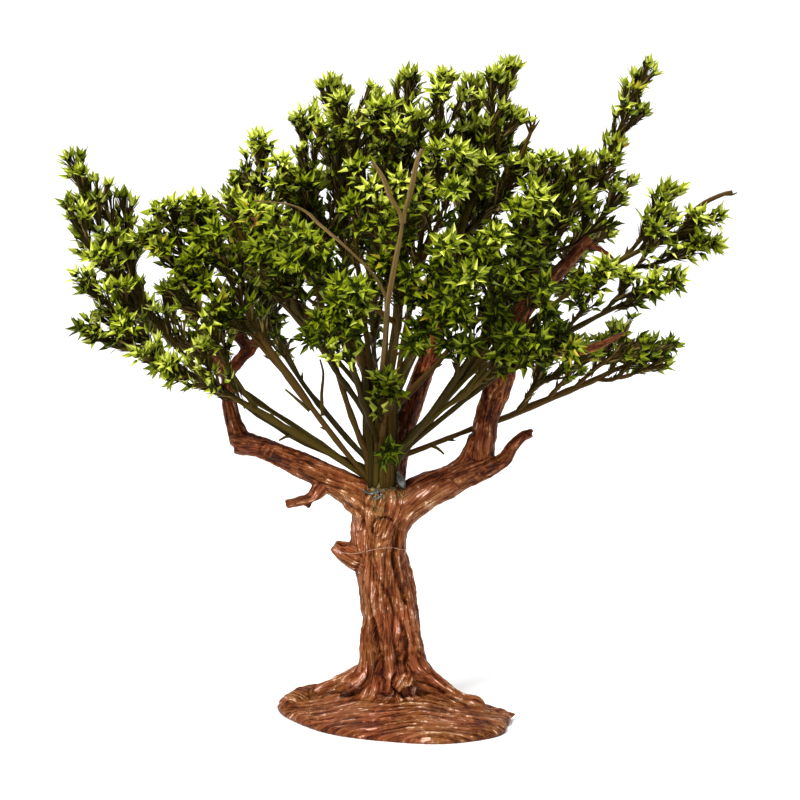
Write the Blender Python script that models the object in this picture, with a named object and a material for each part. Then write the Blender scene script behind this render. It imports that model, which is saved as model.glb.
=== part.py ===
"""A model olive tree, 200 mm tall, of the kind set on table-top landscapes.

The trunk, its boughs and the oval mound they stand on are moulded plastic. A bundle of
artificial stems is glued into the fork, and fans out into sprays of star-shaped shoots.
Sizes are in millimetres, and become metres where the geometry is made. +Z is up, and the
origin is on the flat underside of the base, below the trunk.
"""
import bmesh
import bpy
import math
import random
from collections import namedtuple
from mathutils import Matrix, Vector
from mathutils.bvhtree import BVHTree
from mathutils.kdtree import KDTree

MM = 0.001
GAP = 0.3                       # clearance between neighbouring pieces

# The base: an oval mound with a thin rim, turned so that its right end comes forward.
BASE_HALF_LENGTH = 39.5
BASE_HALF_WIDTH = 27.0
BASE_TURN = math.radians(-38)
BASE_MIDDLE = Vector((-0.6, -2.4, 0))
RIM_HEIGHT = 2.2
SEAT_HEIGHT = 8.4               # flat top of the mound, that the trunk stands on
SEAT_RADIUS = 12.0
BASE_SIDES = 32

# The trunk: height, middle in X, half width in X, half depth in Y.
Station = namedtuple("Station", "height middle half_width half_depth")
TRUNK = [
    Station(SEAT_HEIGHT + GAP, -1.3, 9.6, 9.0),
    Station(12, -1.3, 9.2, 8.6),
    Station(17, -1.3, 8.9, 8.2),
    Station(24, -1.5, 8.8, 7.8),
    Station(32, -2.0, 8.3, 7.4),
    Station(42, -3.6, 8.1, 7.2),
    Station(50, -4.6, 7.9, 7.2),
    Station(57, -4.8, 8.4, 7.4),
    Station(63, -3.6, 10.0, 8.0),
    Station(68, -3.0, 9.6, 8.0),
    Station(71.5, -3.4, 6.6, 6.4),
]
TRUNK_SIDES = 20
ROOT_FLARE = 0.26               # how far the root lobes stand out at the foot
ROOT_FADE = 8.0                 # height over which they die away
ROOT_DIRECTIONS = [math.radians(a) for a in (-28, 88, 152, 222)]
FLUTE_DEPTH = 0.035
FLUTES = 7
FLUTE_TWIST = math.radians(0.9)  # turn of the flutes for each millimetre of height

# The glue in the fork and the bundle of stems that stands in it.
GLUE_FOOT = 66.0
GLUE_TOP = 75.0
GLUE_RADIUS = 7.6
BUNDLE_MIDDLE = Vector((-4.6, 0, 0))
BUNDLE_FOOT = GLUE_TOP + GAP
BUNDLE_TOP = 98.0
BUNDLE_FOOT_RADIUS = 5.0
BUNDLE_TOP_RADIUS = 5.8
BUNDLE_RIBS = 9
BUNDLE_RIB_DEPTH = 0.45

# Limbs: each is a row of stations (x, y, z, radius), and what its foot is seated on.
Limb = namedtuple("Limb", "stations seats")
LIMBS = {
    "root_right": Limb([(5, -3, 14.5, 4.2), (12, -4, 10.6, 3.7), (18, -5, 7.6, 3.0),
                        (25, -6, 4.9, 1.9)], ["trunk", "base"]),
    "root_left": Limb([(-7, -2, 15, 4.0), (-13, -1, 11, 3.2), (-18, 0, 8.9, 2.4),
                       (-24, 1, 6.9, 1.3)], ["trunk", "base"]),
    "root_back": Limb([(-1, 6, 14, 3.8), (-1, 11, 10.5, 3.2), (0, 16, 7.2, 2.2),
                       (1, 20, 4.9, 1.2)], ["trunk", "base"]),
    "trunk_stub": Limb([(-6, -1, 46.6, 4.0), (-13, -1.5, 50, 3.4), (-16.5, -2, 52, 2.8),
                        (-19, -2, 53.6, 2.0)], ["trunk"]),
    "left_bough": Limb([(-3, 0, 63.5, 5.4), (-12.4, -0.5, 68.8, 4.5), (-21.4, -1, 74, 3.8),
                        (-32, -1, 79, 3.3), (-40.6, 0, 82.8, 2.7), (-48.2, 1, 85.9, 3.0)],
                       ["trunk"]),
    "left_twig_stub": Limb([(-20, -1, 74, 1.9), (-22.6, -3, 70.6, 1.7), (-26, -4, 67.8, 1.4),
                            (-33, -4.5, 66.2, 1.1)], ["left_bough"]),
    "left_riser": Limb([(-47.6, 1, 85.5, 2.7), (-50.6, 2, 91.2, 2.1), (-51.4, 3, 98.7, 2.0),
                        (-50.8, 3, 106.5, 2.1)], ["left_bough"]),
    "left_fork_stub": Limb([(-50.8, 3, 104.5, 1.9), (-55.8, 3.5, 109.8, 1.8),
                            (-61.2, 4, 115.3, 1.2)], ["left_riser"]),
    "left_fork_right": Limb([(-50.4, 3, 105.5, 2.0), (-46.5, 2.5, 109.8, 1.9),
                             (-43, 2, 113.2, 1.7), (-40.3, 2, 118.3, 0.9)],
                            ["left_riser", "left_fork_stub"]),
    "left_fork_top": Limb([(-44, 2.2, 112.2, 1.9), (-47.8, 3.5, 117.2, 2.0),
                           (-51, 4.5, 122.5, 1.7), (-54.3, 5, 128.3, 1.1)],
                          ["left_fork_right"]),
    "right_bough": Limb([(-3, 0, 62, 6.6), (8.8, -0.5, 69, 5.3), (14.5, -0.8, 71.3, 4.8),
                         (20.5, -1, 74.2, 4.2), (29.4, -1, 77.8, 3.5)], ["trunk"]),
    "right_stub": Limb([(28.5, -1.5, 76.8, 2.1), (32, -2.5, 80.4, 2.0),
                        (34.8, -3.5, 85.1, 1.7), (41.4, -4.5, 88.9, 0.9)], ["right_bough"]),
    "right_riser": Limb([(25.4, -0.5, 77.2, 3.5), (26.2, 0, 84, 3.5), (27.4, 0.5, 91.2, 3.4),
                         (29.4, 1, 98.5, 3.4), (31, 1, 104.5, 3.9), (33.2, 1, 112.5, 3.6)],
                        ["right_bough", "right_stub"]),
    "right_top": Limb([(32.4, 1, 110, 3.3), (35.4, 1, 117.5, 3.1), (38.8, 1, 124.8, 2.9),
                       (49.1, 0, 136.2, 2.1), (58, -1, 145.7, 1.5)], ["right_riser"]),
    "right_top_twig": Limb([(55.5, -0.8, 143.2, 1.1), (60.5, -1.8, 142.6, 0.9),
                            (64.8, -2.2, 139.8, 0.6)], ["right_top"]),
    "right_side_twig": Limb([(32.6, 0.5, 109.6, 2.1), (40, -2.5, 111.4, 1.7),
                             (56, -6, 112.6, 1.3), (67.7, -8, 117.7, 0.7)],
                            ["right_riser", "right_top"]),
    "middle_bough": Limb([(-1, 3, 66, 4.2), (-0.6, 8.8, 75.8, 3.6), (1.8, 11.4, 87.2, 3.3),
                          (4.3, 12.6, 96.3, 3.2), (9.8, 14, 110.5, 2.8), (12.6, 14.2, 119, 2.2),
                          (13.6, 14, 125, 1.5)], ["trunk", "glue"]),
    "middle_twig": Limb([(12.6, 14.1, 118, 1.8), (18.5, 17, 127.4, 1.6),
                         (25.4, 20, 136.1, 1.1)], ["middle_bough"]),
    "back_bough": Limb([(-6, 3, 65, 4.0), (-8, 8.6, 75, 3.4), (-9.4, 15, 94, 3.1),
                        (-12.4, 20, 108.5, 2.7), (-19.5, 24, 118, 2.5),
                        (-30.3, 27, 122.9, 2.2)], ["trunk", "glue", "middle_bough"]),
    "back_twig": Limb([(-26.4, 26, 121.4, 1.7), (-31, 28, 125.2, 1.3),
                       (-36.2, 30, 128.4, 0.8)], ["back_bough"]),
}
LIMB_STEPS = 2                  # straight lengths between two stations
LIMB_BEVEL = 2                  # eight sides

# Sprays: the height where the stem leaves the bundle, how far its shoots reach, how far its
# middle bows outwards, where its shoots begin, and forks of (place along the stem, reach, bow).
Spray = namedtuple("Spray", "foot reach bow leafy forks")
SPRAYS = {
    "left_low": Spray(76.8, (-94, -20, 120), 0.5, 0.72, [(0.66, (-96, -20, 138), 2)]),
    "far_left": Spray(80.5, (-97, -9, 171), 17, 0.60,
                      [(0.62, (-99, -14, 152), 1), (0.66, (-83, 6, 160), 2)]),
    "left_mid": Spray(81.5, (-61, -22, 158), 8, 0.52,
                      [(0.52, (-75, -22, 149), 1), (0.44, (-58, -28, 122), 2)]),
    "left_high": Spray(84.0, (-53, 14, 153), 4, 0.52,
                       [(0.46, (-80, 18, 139), 3), (0.70, (-50, 4, 168), 1)]),
    "left_front": Spray(86.0, (-44, -30, 158), 4, 0.46, [(0.60, (-38, -22, 173), 2)]),
    "left_inner": Spray(92.0, (-28, -12, 182), 3, 0.50,
                        [(0.45, (-35, -38, 147), 3), (0.55, (-35, -4, 168), 1)]),
    "top_left": Spray(BUNDLE_TOP, (-19, -5, 192), 2, 0.45, [(0.62, (-9, -14, 189), 1)]),
    "top_centre": Spray(BUNDLE_TOP, (4, 6, 196), 1, 0.42, [(0.45, (-4, -20, 186), 3)]),
    "top_mid": Spray(BUNDLE_TOP, (12, -16, 194), 1, 0.40, [(0.42, (19, -30, 174), 2)]),
    "top_right": Spray(BUNDLE_TOP, (34, -8, 196), 2, 0.48, [(0.62, (23, 4, 194), 2)]),
    "right_inner": Spray(90.0, (43, -34, 161), 4, 0.46, [(0.52, (28, -44, 150), 2)]),
    "right_tall": Spray(91.0, (75, 6, 196), 7, 0.56,
                        [(0.58, (67, -1, 163), 2), (0.66, (63, 8, 176), 1)]),
    "far_right": Spray(84.0, (96, -18, 155), 7, 0.66,
                       [(0.70, (81, -9, 160), 1), (0.68, (90, -24, 143), 2)]),
    "right_mid": Spray(82.0, (80, -24, 135), 5, 0.80, [(0.60, (68, -31, 149), 1)]),
    "right_low": Spray(77.5, (88, 20, 115), 1, 0.74, [(0.72, (82, 15, 104), 1)]),
    "right_front": Spray(79.0, (56, -28, 115), 2, 0.56, [(0.50, (36, -34, 118), 1)]),
    "upper_right": Spray(95.0, (57, -8, 173), 4, 0.48, [(0.55, (44, -14, 171), 1)]),
    "front_tuft": Spray(84.0, (-3, -24, 107), 1, 0.45, []),
    "front_right": Spray(87.0, (18, -45, 119), 3, 0.42, [(0.55, (21, -50, 133), 1)]),
    "front_left": Spray(88.0, (-15, -47, 123), 3, 0.42, [(0.55, (-9, -53, 137), 1)]),
    "front_mid": Spray(95.0, (5, -40, 167), 4, 0.40,
                       [(0.42, (-38, -44, 155), 1), (0.62, (-8, -42, 164), 1)]),
    "back_left_low": Spray(80.0, (-87, 27, 127), 5, 0.66, [(0.50, (-72, 42, 131), 2)]),
    "back_left": Spray(85.0, (-61, 39, 147), 6, 0.48, [(0.50, (-46, 54, 126), 2)]),
    "back_left_up": Spray(95.0, (-36, 43, 171), 2, 0.44, [(0.46, (-30, 59, 147), 2)]),
    "back_top_left": Spray(BUNDLE_TOP, (-16, 28, 188), 3, 0.45, []),
    "back_mid": Spray(93.0, (-9, 62, 151), 6, 0.42, [(0.48, (1, 46, 173), 2)]),
    "back_top": Spray(BUNDLE_TOP, (-1, 34, 188), 2, 0.42, []),
    "back_right_mid": Spray(BUNDLE_TOP, (27, 58, 146), 2, 0.44, [(0.50, (34, 46, 167), 2)]),
    "back_top_right": Spray(BUNDLE_TOP, (32, 28, 183), 3, 0.45, []),
    "back_right": Spray(86.0, (56, 42, 158), 5, 0.46, [(0.50, (45, 55, 136), 2)]),
    "back_right_low": Spray(81.0, (73, 31, 154), 6, 0.66, [(0.52, (83, 40, 116), 1)]),
}
TOP_SPREAD = 0.22               # stems on the bundle's top stand this share of their reach out
STEM_RADIUS = 0.95              # at the foot; a stem thins towards its tip
STEM_TIP_RADIUS = 0.5
FORK_RADIUS = 0.75
STEM_LENGTHS = 5                # straight lengths in a stem
FORK_LENGTHS = 3
FORK_LEAFY = 0.34               # where the shoots begin on a fork
SHOOT_SPACING = 8.0             # along a stem
SHOOT_LENGTH = 11.0
TIP_SHOOT = 8.0                 # of the reach is the shoot at the stem's tip
SHOOT_TURN = math.radians(137.5)
SHOOT_ATTEMPTS = 4              # directions tried before a shoot is left out
SHOOT_LEAN_FOOT = math.radians(68)
SHOOT_LEAN_TIP = math.radians(48)
SHOOT_RISE = 0.22               # how much the shoots turn to the light
LEAVES = 5                      # in the star that ends each shoot
STAR_REACH = 0.60               # tip radius of the star, for each unit of the shoot's length
STAR_NOTCH = (0.26, 0.42)       # radius and height of the notches between its leaves
STAR_HOLLOW = 0.47              # height of the middle of the star
SHOOT_ROOT = 0.35               # how far a shoot is sunk past the middle of its stem

MATERIALS = {
    "moulded_bark": ((0.24, 0.075, 0.035), 0.34),
    "hot_glue": ((0.50, 0.50, 0.46), 0.25),
    "stem_plastic": ((0.07, 0.075, 0.025), 0.55),
    "leaf_plastic": ((0.16, 0.33, 0.02), 0.45),
}


# ---------------------------------------------------------------- helpers

def clear_scene():
    for item in list(bpy.data.objects):
        bpy.data.objects.remove(item)


def new_collection(name):
    collection = bpy.data.collections.new(name)
    bpy.context.scene.collection.children.link(collection)
    return collection


def make_material(name):
    colour, roughness = MATERIALS[name]
    material = bpy.data.materials.new(name)
    material.use_nodes = True
    shader = material.node_tree.nodes["Principled BSDF"]
    shader.inputs["Base Color"].default_value = (*colour, 1)
    shader.inputs["Roughness"].default_value = roughness
    return material


def add_object(name, mesh, collection):
    item = bpy.data.objects.new(name, mesh)
    collection.objects.link(item)
    return item


def evaluated_mesh(item):
    bpy.context.view_layer.update()
    graph = bpy.context.evaluated_depsgraph_get()
    return bpy.data.meshes.new_from_object(item.evaluated_get(graph), depsgraph=graph)


def mesh_from_bmesh(name, shape):
    bmesh.ops.recalc_face_normals(shape, faces=shape.faces)
    mesh = bpy.data.meshes.new(name)
    shape.to_mesh(mesh)
    shape.free()
    return mesh


def cross_product_frame(axis):
    """Two unit vectors square to an axis and to each other."""
    side = axis.orthogonal().normalized()
    return side, axis.cross(side).normalized()


def smooth_row(stations, steps):
    """Points of a Catmull-Rom curve through the stations, with their radii."""
    rows = [Vector(s) for s in stations]
    rows = [2 * rows[0] - rows[1]] + rows + [2 * rows[-1] - rows[-2]]
    points = []
    for a, b, c, d in zip(rows, rows[1:], rows[2:], rows[3:]):
        for step in range(steps):
            t = step / steps
            points.append(0.5 * (2 * b + (c - a) * t + (2 * a - 5 * b + 4 * c - d) * t ** 2
                                 + (3 * b - a - 3 * c + d) * t ** 3))
    points.append(rows[-2])
    return points


def tube(name, points, collection, profile=None):
    """A closed tube along points of (x, y, z, radius), round or with a profile curve."""
    curve = bpy.data.curves.new(name, "CURVE")
    curve.dimensions = "3D"
    curve.use_fill_caps = True
    if profile is None:
        curve.bevel_depth = MM
        curve.bevel_resolution = LIMB_BEVEL
    else:
        curve.bevel_mode = "OBJECT"
        curve.bevel_object = profile
    spline = curve.splines.new("POLY")
    spline.points.add(len(points) - 1)
    for point, (x, y, z, radius) in zip(spline.points, points):
        point.co = (x * MM, y * MM, z * MM, 1)
        point.radius = radius
    guide = bpy.data.objects.new(name, curve)
    collection.objects.link(guide)
    mesh = evaluated_mesh(guide)
    bpy.data.objects.remove(guide)
    shape = bmesh.new()
    shape.from_mesh(mesh)
    bmesh.ops.remove_doubles(shape, verts=shape.verts, dist=1e-6)
    return add_object(name, mesh_from_bmesh(name, shape), collection)


def loft(name, rings, collection):
    """A closed skin through rings of the same number of points, with flat ends."""
    shape = bmesh.new()
    rows = [[shape.verts.new(point * MM) for point in ring] for ring in rings]
    for low, high in zip(rows, rows[1:]):
        for i in range(len(low)):
            j = (i + 1) % len(low)
            shape.faces.new((low[i], low[j], high[j], high[i]))
    sides = list(shape.faces)
    shape.faces.new(reversed(rows[0]))
    shape.faces.new(rows[-1])
    bmesh.ops.triangulate(shape, faces=sides, quad_method="FIXED")
    return add_object(name, mesh_from_bmesh(name, shape), collection)


def cut(piece, cutters):
    """Takes the cutters away from a piece and removes them."""
    for cutter in cutters:
        modifier = piece.modifiers.new(cutter.name, "BOOLEAN")
        modifier.operation = "DIFFERENCE"
        modifier.solver = "EXACT"
        modifier.object = cutter
    piece.data = evaluated_mesh(piece)
    piece.modifiers.clear()
    for cutter in cutters:
        bpy.data.objects.remove(cutter)


# ---------------------------------------------------------------- base and trunk

def base_ring(scale, height, grow):
    """One ring of the mound, between its oval rim and the round seat of the trunk."""
    turn = Matrix.Rotation(BASE_TURN, 3, "Z")
    ring = []
    for i in range(BASE_SIDES):
        angle = math.tau * i / BASE_SIDES
        rim = BASE_MIDDLE + turn @ Vector((BASE_HALF_LENGTH * math.cos(angle),
                                           BASE_HALF_WIDTH * math.sin(angle), 0))
        rim += rim.normalized() * (grow + 0.5 * math.sin(3 * angle) + 0.35 * math.sin(7 * angle))
        seat = rim.normalized() * (SEAT_RADIUS + grow)
        point = seat.lerp(rim, scale)
        ring.append(Vector((point.x, point.y, height + grow)))
    return ring


def mound_height(scale):
    """Height of the mound from the trunk's seat (0) to the rim (1)."""
    return RIM_HEIGHT + (SEAT_HEIGHT - RIM_HEIGHT) * (1 - scale) ** 0.95


def base_solid(name, collection, grow=0.0):
    rings = [base_ring(0.975, -2 * grow, grow), base_ring(1.0, 0.7, grow)]
    rings += [base_ring(s, mound_height(s), grow) for s in (0.975, 0.88, 0.66, 0.36, 0.0)]
    return loft(name, rings, collection)


def trunk_ring(station, grow):
    flare = ROOT_FLARE * math.exp(-(station.height - SEAT_HEIGHT) / ROOT_FADE)
    ring = []
    for i in range(TRUNK_SIDES):
        angle = math.tau * i / TRUNK_SIDES
        lobe = sum(math.exp(-((angle - d + math.pi) % math.tau - math.pi) ** 2 / 0.12)
                   for d in ROOT_DIRECTIONS)
        flute = math.cos(FLUTES * (angle + FLUTE_TWIST * station.height))
        swell = 1 + flare * lobe + FLUTE_DEPTH * flute
        ring.append(Vector((station.middle + (station.half_width * swell + grow) * math.cos(angle),
                            (station.half_depth * swell + grow) * math.sin(angle),
                            station.height)))
    return ring


def trunk_solid(name, collection, grow=0.0):
    rings = [trunk_ring(station, grow) for station in TRUNK]
    for point in rings[0]:
        point.z -= grow
    for point in rings[-1]:
        point.z += grow
    return loft(name, rings, collection)


# ---------------------------------------------------------------- glue and bundle

def glue_solid(name, collection, grow=0.0):
    """A squat plug of set glue, its foot hollowed by the fork that it fills."""
    heights = [GLUE_FOOT - grow, 71, 73.6, GLUE_TOP + grow]
    radii = [GLUE_RADIUS - 0.6, GLUE_RADIUS, GLUE_RADIUS - 0.9, BUNDLE_FOOT_RADIUS + 0.5]
    rings = []
    for height, radius in zip(heights, radii):
        rings.append([BUNDLE_MIDDLE + Vector(((radius + grow) * math.cos(a),
                                              (radius + grow) * 0.9 * math.sin(a), height))
                      for a in (math.tau * i / 16 for i in range(16))])
    return loft(name, rings, collection)


def bundle_radius(height):
    rise = (height - BUNDLE_FOOT) / (BUNDLE_TOP - BUNDLE_FOOT)
    return BUNDLE_FOOT_RADIUS + (BUNDLE_TOP_RADIUS - BUNDLE_FOOT_RADIUS) * rise


def bundle_solid(name, collection, grow=0.0):
    """The glued foot of the stems, ribbed by them."""
    sides = 2 * BUNDLE_RIBS
    rings = []
    for height in (BUNDLE_FOOT - grow, 83, 90.5, BUNDLE_TOP + grow):
        radius = bundle_radius(height) + grow
        ring = []
        for i in range(sides):
            angle = math.tau * (i + 0.02 * (height - BUNDLE_FOOT)) / sides
            out = radius - (BUNDLE_RIB_DEPTH if i % 2 else 0)
            ring.append(BUNDLE_MIDDLE + Vector((out * math.cos(angle), out * math.sin(angle),
                                                height)))
        rings.append(ring)
    return loft(name, rings, collection)


# ---------------------------------------------------------------- limbs

def limb_solid(name, collection, grow=0.0):
    rows = smooth_row(LIMBS[name].stations, LIMB_STEPS)
    if grow:
        first = (rows[0] - rows[1]).to_3d().normalized() * grow
        last = (rows[-1] - rows[-2]).to_3d().normalized() * grow
        rows[0] = Vector((*(rows[0].to_3d() + first), rows[0].w))
        rows[-1] = Vector((*(rows[-1].to_3d() + last), rows[-1].w))
    return tube(name, [(r.x, r.y, r.z, r.w + grow) for r in rows], collection)


MAKERS = {"base": base_solid, "trunk": trunk_solid, "glue": glue_solid}


def cutter_for(name, collection):
    """The solid of that name, grown by the clearance."""
    if name in MAKERS:
        return MAKERS[name]("cutter_" + name, collection, GAP)
    cutter = limb_solid(name, collection, GAP)
    cutter.name = "cutter_" + name
    return cutter


def make_limbs(parts, cutters):
    for name, limb in LIMBS.items():
        piece = limb_solid(name, parts)
        cut(piece, [cutter_for(seat, cutters) for seat in limb.seats])


# ---------------------------------------------------------------- sprays

def bowed_path(start, reach, bow, lengths):
    """Points of a stem that stops short of its shoots' reach and bows out and down."""
    tip = reach - (reach - start).normalized() * TIP_SHOOT
    chord = tip - start
    level = Vector((chord.x, chord.y, 0))
    away = Vector((chord.x, chord.y, 0)).normalized() * chord.z
    away.z = -level.length
    control = (start + tip) / 2 + away.normalized() * 2 * bow
    points = []
    for i in range(lengths + 1):
        t = i / lengths
        points.append(start * (1 - t) ** 2 + control * 2 * t * (1 - t) + tip * t * t)
    return points


def point_along(points, place):
    """The point at a share of a path, and the path's direction there."""
    where = min(place, 0.9999) * (len(points) - 1)
    i = int(where)
    return points[i].lerp(points[i + 1], where - i), (points[i + 1] - points[i]).normalized()


def stem_foot(spray):
    """Where a stem leaves the bundle: its flank, or its top for the innermost stems."""
    reach = Vector(spray.reach)
    level = Vector((reach.x - BUNDLE_MIDDLE.x, reach.y, 0))
    slope = math.atan2(reach.z - spray.foot, level.length)
    if spray.foot < BUNDLE_TOP:
        out = bundle_radius(spray.foot) + GAP + STEM_RADIUS * math.sin(slope)
        height = spray.foot
    else:
        out = min(BUNDLE_TOP_RADIUS - 1, TOP_SPREAD * level.length)
        height = BUNDLE_TOP + GAP + STEM_RADIUS * math.cos(slope)
    foot = BUNDLE_MIDDLE + level.normalized() * out
    foot.z = height
    return foot


def spray_axes(spray):
    """The stem and its forks, as (points, foot radius, where the shoots begin)."""
    stem = bowed_path(stem_foot(spray), Vector(spray.reach), spray.bow, STEM_LENGTHS)
    axes = [(stem, STEM_RADIUS, spray.leafy)]
    for place, reach, bow in spray.forks:
        foot, _ = point_along(stem, place)
        path = bowed_path(foot, Vector(reach), bow, FORK_LENGTHS)
        axes.append((path, FORK_RADIUS, FORK_LEAFY))
    return axes


def axis_rows(points, radius):
    count = len(points) - 1
    return [(*p, radius + (STEM_TIP_RADIUS - radius) * i / count) for i, p in enumerate(points)]


def star_shape():
    """A unit shoot: a five-sided neck that opens into a hollow star of pointed leaves."""
    notch_radius, notch_height = STAR_NOTCH
    shape = bmesh.new()
    bmesh.ops.create_cone(shape, cap_ends=True, cap_tris=True, segments=LEAVES, radius1=0,
                          radius2=notch_radius, depth=notch_height,
                          matrix=Matrix.Translation((0, 0, notch_height / 2)))
    bmesh.ops.remove_doubles(shape, verts=shape.verts, dist=1e-5)
    middle = next(v for v in shape.verts if v.co.z > 0 and v.co.xy.length < 1e-4)
    middle.co.z = STAR_HOLLOW
    rim = [e for e in shape.edges if all(v.co.xy.length > 1e-3 for v in e.verts)]
    for edge in rim:
        ends = list(edge.verts)
        _, tip = bmesh.utils.edge_split(edge, ends[0], 0.5)
        for face in list(tip.link_faces):
            if middle in face.verts:
                bmesh.utils.face_split(face, middle, tip)
            else:
                bmesh.utils.face_split(face, ends[0], ends[1])
        tip.co = Vector((*(tip.co.xy.normalized() * STAR_REACH), 1))
    bmesh.ops.triangulate(shape, faces=[f for f in shape.faces if len(f.verts) > 3])
    return mesh_from_bmesh("star", shape)


def shoot_mesh(star, foot, direction, length, dice):
    """One shoot, with the five leaf tips each a little out of true."""
    mesh = star.copy()
    for vertex in mesh.vertices:
        if vertex.co.xy.length > STAR_REACH / 2:
            vertex.co.xy *= dice.uniform(0.88, 1.12)
            vertex.co.z *= dice.uniform(0.84, 1.08)
    side, other = cross_product_frame(direction)
    frame = Matrix((side, other, direction)).transposed().to_4x4()
    root = foot - direction * SHOOT_ROOT
    roll = dice.uniform(0, math.tau)
    mesh.transform(Matrix.Translation(root * MM) @ frame @ Matrix.Rotation(roll, 4, "Z")
                   @ Matrix.Scale(length * MM, 4))
    return mesh


def tree_of(mesh, grow=1.0):
    middle = sum((v.co for v in mesh.vertices), Vector()) / len(mesh.vertices)
    spots = [middle + (v.co - middle) * grow for v in mesh.vertices]
    return BVHTree.FromPolygons(spots, [tuple(p.vertices) for p in mesh.polygons])


def shoot_places(axis, dice):
    """Foot, length and the directions to try of each shoot along an axis, its tip first."""
    points, _, leafy = axis
    run = sum((b - a).length for a, b in zip(points, points[1:]))
    foot, along = point_along(points, 1)
    yield foot, SHOOT_LENGTH, [along]
    count = max(1, round(run * (1 - leafy) / SHOOT_SPACING))
    angle = dice.uniform(0, math.tau)
    for i in range(count):
        place = 1 - (1 - leafy) * (i + 0.75) / count
        foot, along = point_along(points, place)
        side, other = cross_product_frame(along)
        lean = SHOOT_LEAN_TIP + (SHOOT_LEAN_FOOT - SHOOT_LEAN_TIP) * (1 - place) / (1 - leafy)
        angle += SHOOT_TURN
        directions = []
        for attempt in range(SHOOT_ATTEMPTS):
            turn = angle + attempt * math.tau / SHOOT_ATTEMPTS
            out = side * math.cos(turn) + other * math.sin(turn)
            direction = along * math.cos(lean) + out * math.sin(lean)
            direction.z += SHOOT_RISE
            directions.append(direction.normalized())
        yield foot, SHOOT_LENGTH * dice.uniform(0.86, 1.06), directions


def nearest_spray_tree(axes_by_name):
    """A search tree over points of every axis, for each spray to keep its own space."""
    owners = []
    spots = []
    for name, axes in axes_by_name.items():
        for points, _, _ in axes:
            for step in range(41):
                spots.append(point_along(points, step / 40)[0])
                owners.append(name)
    tree = KDTree(len(spots))
    for i, spot in enumerate(spots):
        tree.insert(spot, i)
    tree.balance()
    return tree, owners


def make_sprays(parts, scraps, stem_material, leaf_material):
    """Grows each spray; a shoot that would leave its space or touch a piece is skipped."""
    star = star_shape()
    profile = triangle_profile(scraps)
    axes_by_name = {name: spray_axes(spray) for name, spray in SPRAYS.items()}
    space, owners = nearest_spray_tree(axes_by_name)
    taken = [(None, tree_of(item.data)) for item in parts.objects]
    stems = {}
    for name, axes in axes_by_name.items():
        stems[name] = [tube(f"{name}_axis", axis_rows(points, radius), scraps, profile)
                       for points, radius, _ in axes]
        taken += [(name, tree_of(item.data, 1.02)) for item in stems[name]]
    bpy.data.objects.remove(profile)
    stars = []
    for number, (name, axes) in enumerate(axes_by_name.items()):
        dice = random.Random(number)
        shoots = new_collection("shoots")
        blocked = [tree for owner, tree in taken if owner != name]
        for axis in axes:
            for foot, length, directions in shoot_places(axis, dice):
                for direction in directions:
                    mesh = shoot_mesh(star, foot, direction, length, dice)
                    middle = foot + direction * length * 0.75
                    test = tree_of(mesh, 1.07)
                    own = len(directions) == 1 or owners[space.find(middle)[1]] == name
                    near = [tree for spot, tree in stars
                            if (middle - spot).length < 2 * SHOOT_LENGTH]
                    if own and not any(test.overlap(tree) for tree in blocked + near):
                        stars.append((middle, tree_of(mesh)))
                        add_object("shoot", mesh, shoots)
                        break
        join_spray("spray_" + name, stems[name], shoots, parts, (stem_material, leaf_material))


def triangle_profile(collection):
    """The three-sided section of a stem, for a radius of 1 mm."""
    curve = bpy.data.curves.new("triangle", "CURVE")
    curve.dimensions = "2D"
    spline = curve.splines.new("POLY")
    spline.points.add(2)
    spline.use_cyclic_u = True
    for i, point in enumerate(spline.points):
        angle = math.tau * i / 3
        point.co = (MM * math.cos(angle), MM * math.sin(angle), 0, 1)
    profile = bpy.data.objects.new("triangle", curve)
    collection.objects.link(profile)
    return profile


def join_spray(name, axes, shoots, parts, materials):
    """One union of a stem with the collection of its forks and shoots."""
    stem, *forks = axes
    for fork in forks:
        shoots.objects.link(fork)
    modifier = stem.modifiers.new("join", "BOOLEAN")
    modifier.operation = "UNION"
    modifier.operand_type = "COLLECTION"
    modifier.collection = shoots
    modifier.solver = "EXACT"
    joined = add_object(name, evaluated_mesh(stem), parts)
    joined.data.materials.clear()
    joined.data.materials.append(materials[1])
    bpy.data.objects.remove(stem)
    for item in list(shoots.objects):
        bpy.data.objects.remove(item)
    bpy.data.collections.remove(shoots)


# ---------------------------------------------------------------- the tree

def main():
    clear_scene()
    parts = new_collection("model_olive_tree")
    scraps = new_collection("scraps")
    bark, glue, stem, leaf = (make_material(name) for name in MATERIALS)
    base_solid("base", parts)
    trunk_solid("trunk", parts)
    plug = glue_solid("glue", parts)
    cut(plug, [cutter_for(name, scraps) for name in ("trunk", "left_bough", "right_bough")])
    make_limbs(parts, scraps)
    bundle = bundle_solid("stem_bundle", parts)
    for item in parts.objects:
        item.data.materials.clear()
        item.data.materials.append(bark)
    plug.data.materials[0] = glue
    bundle.data.materials[0] = stem
    make_sprays(parts, scraps, stem, leaf)
    bpy.data.collections.remove(scraps)


main()
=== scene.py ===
"""The looks of the model olive tree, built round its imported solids.

The moulded bark is one skin over the base, the trunk and the boughs, with ridges, knots and
grain pressed into it. Each spray grows its stems, twigs and leaves again by the source's rule,
with finer shoots. Sizes are in millimetres until a mesh is made. +Z is up.
"""
import bmesh
import bpy
import math
import numpy as np
from collections import namedtuple
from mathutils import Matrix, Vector
from mathutils.bvhtree import BVHTree


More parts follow.
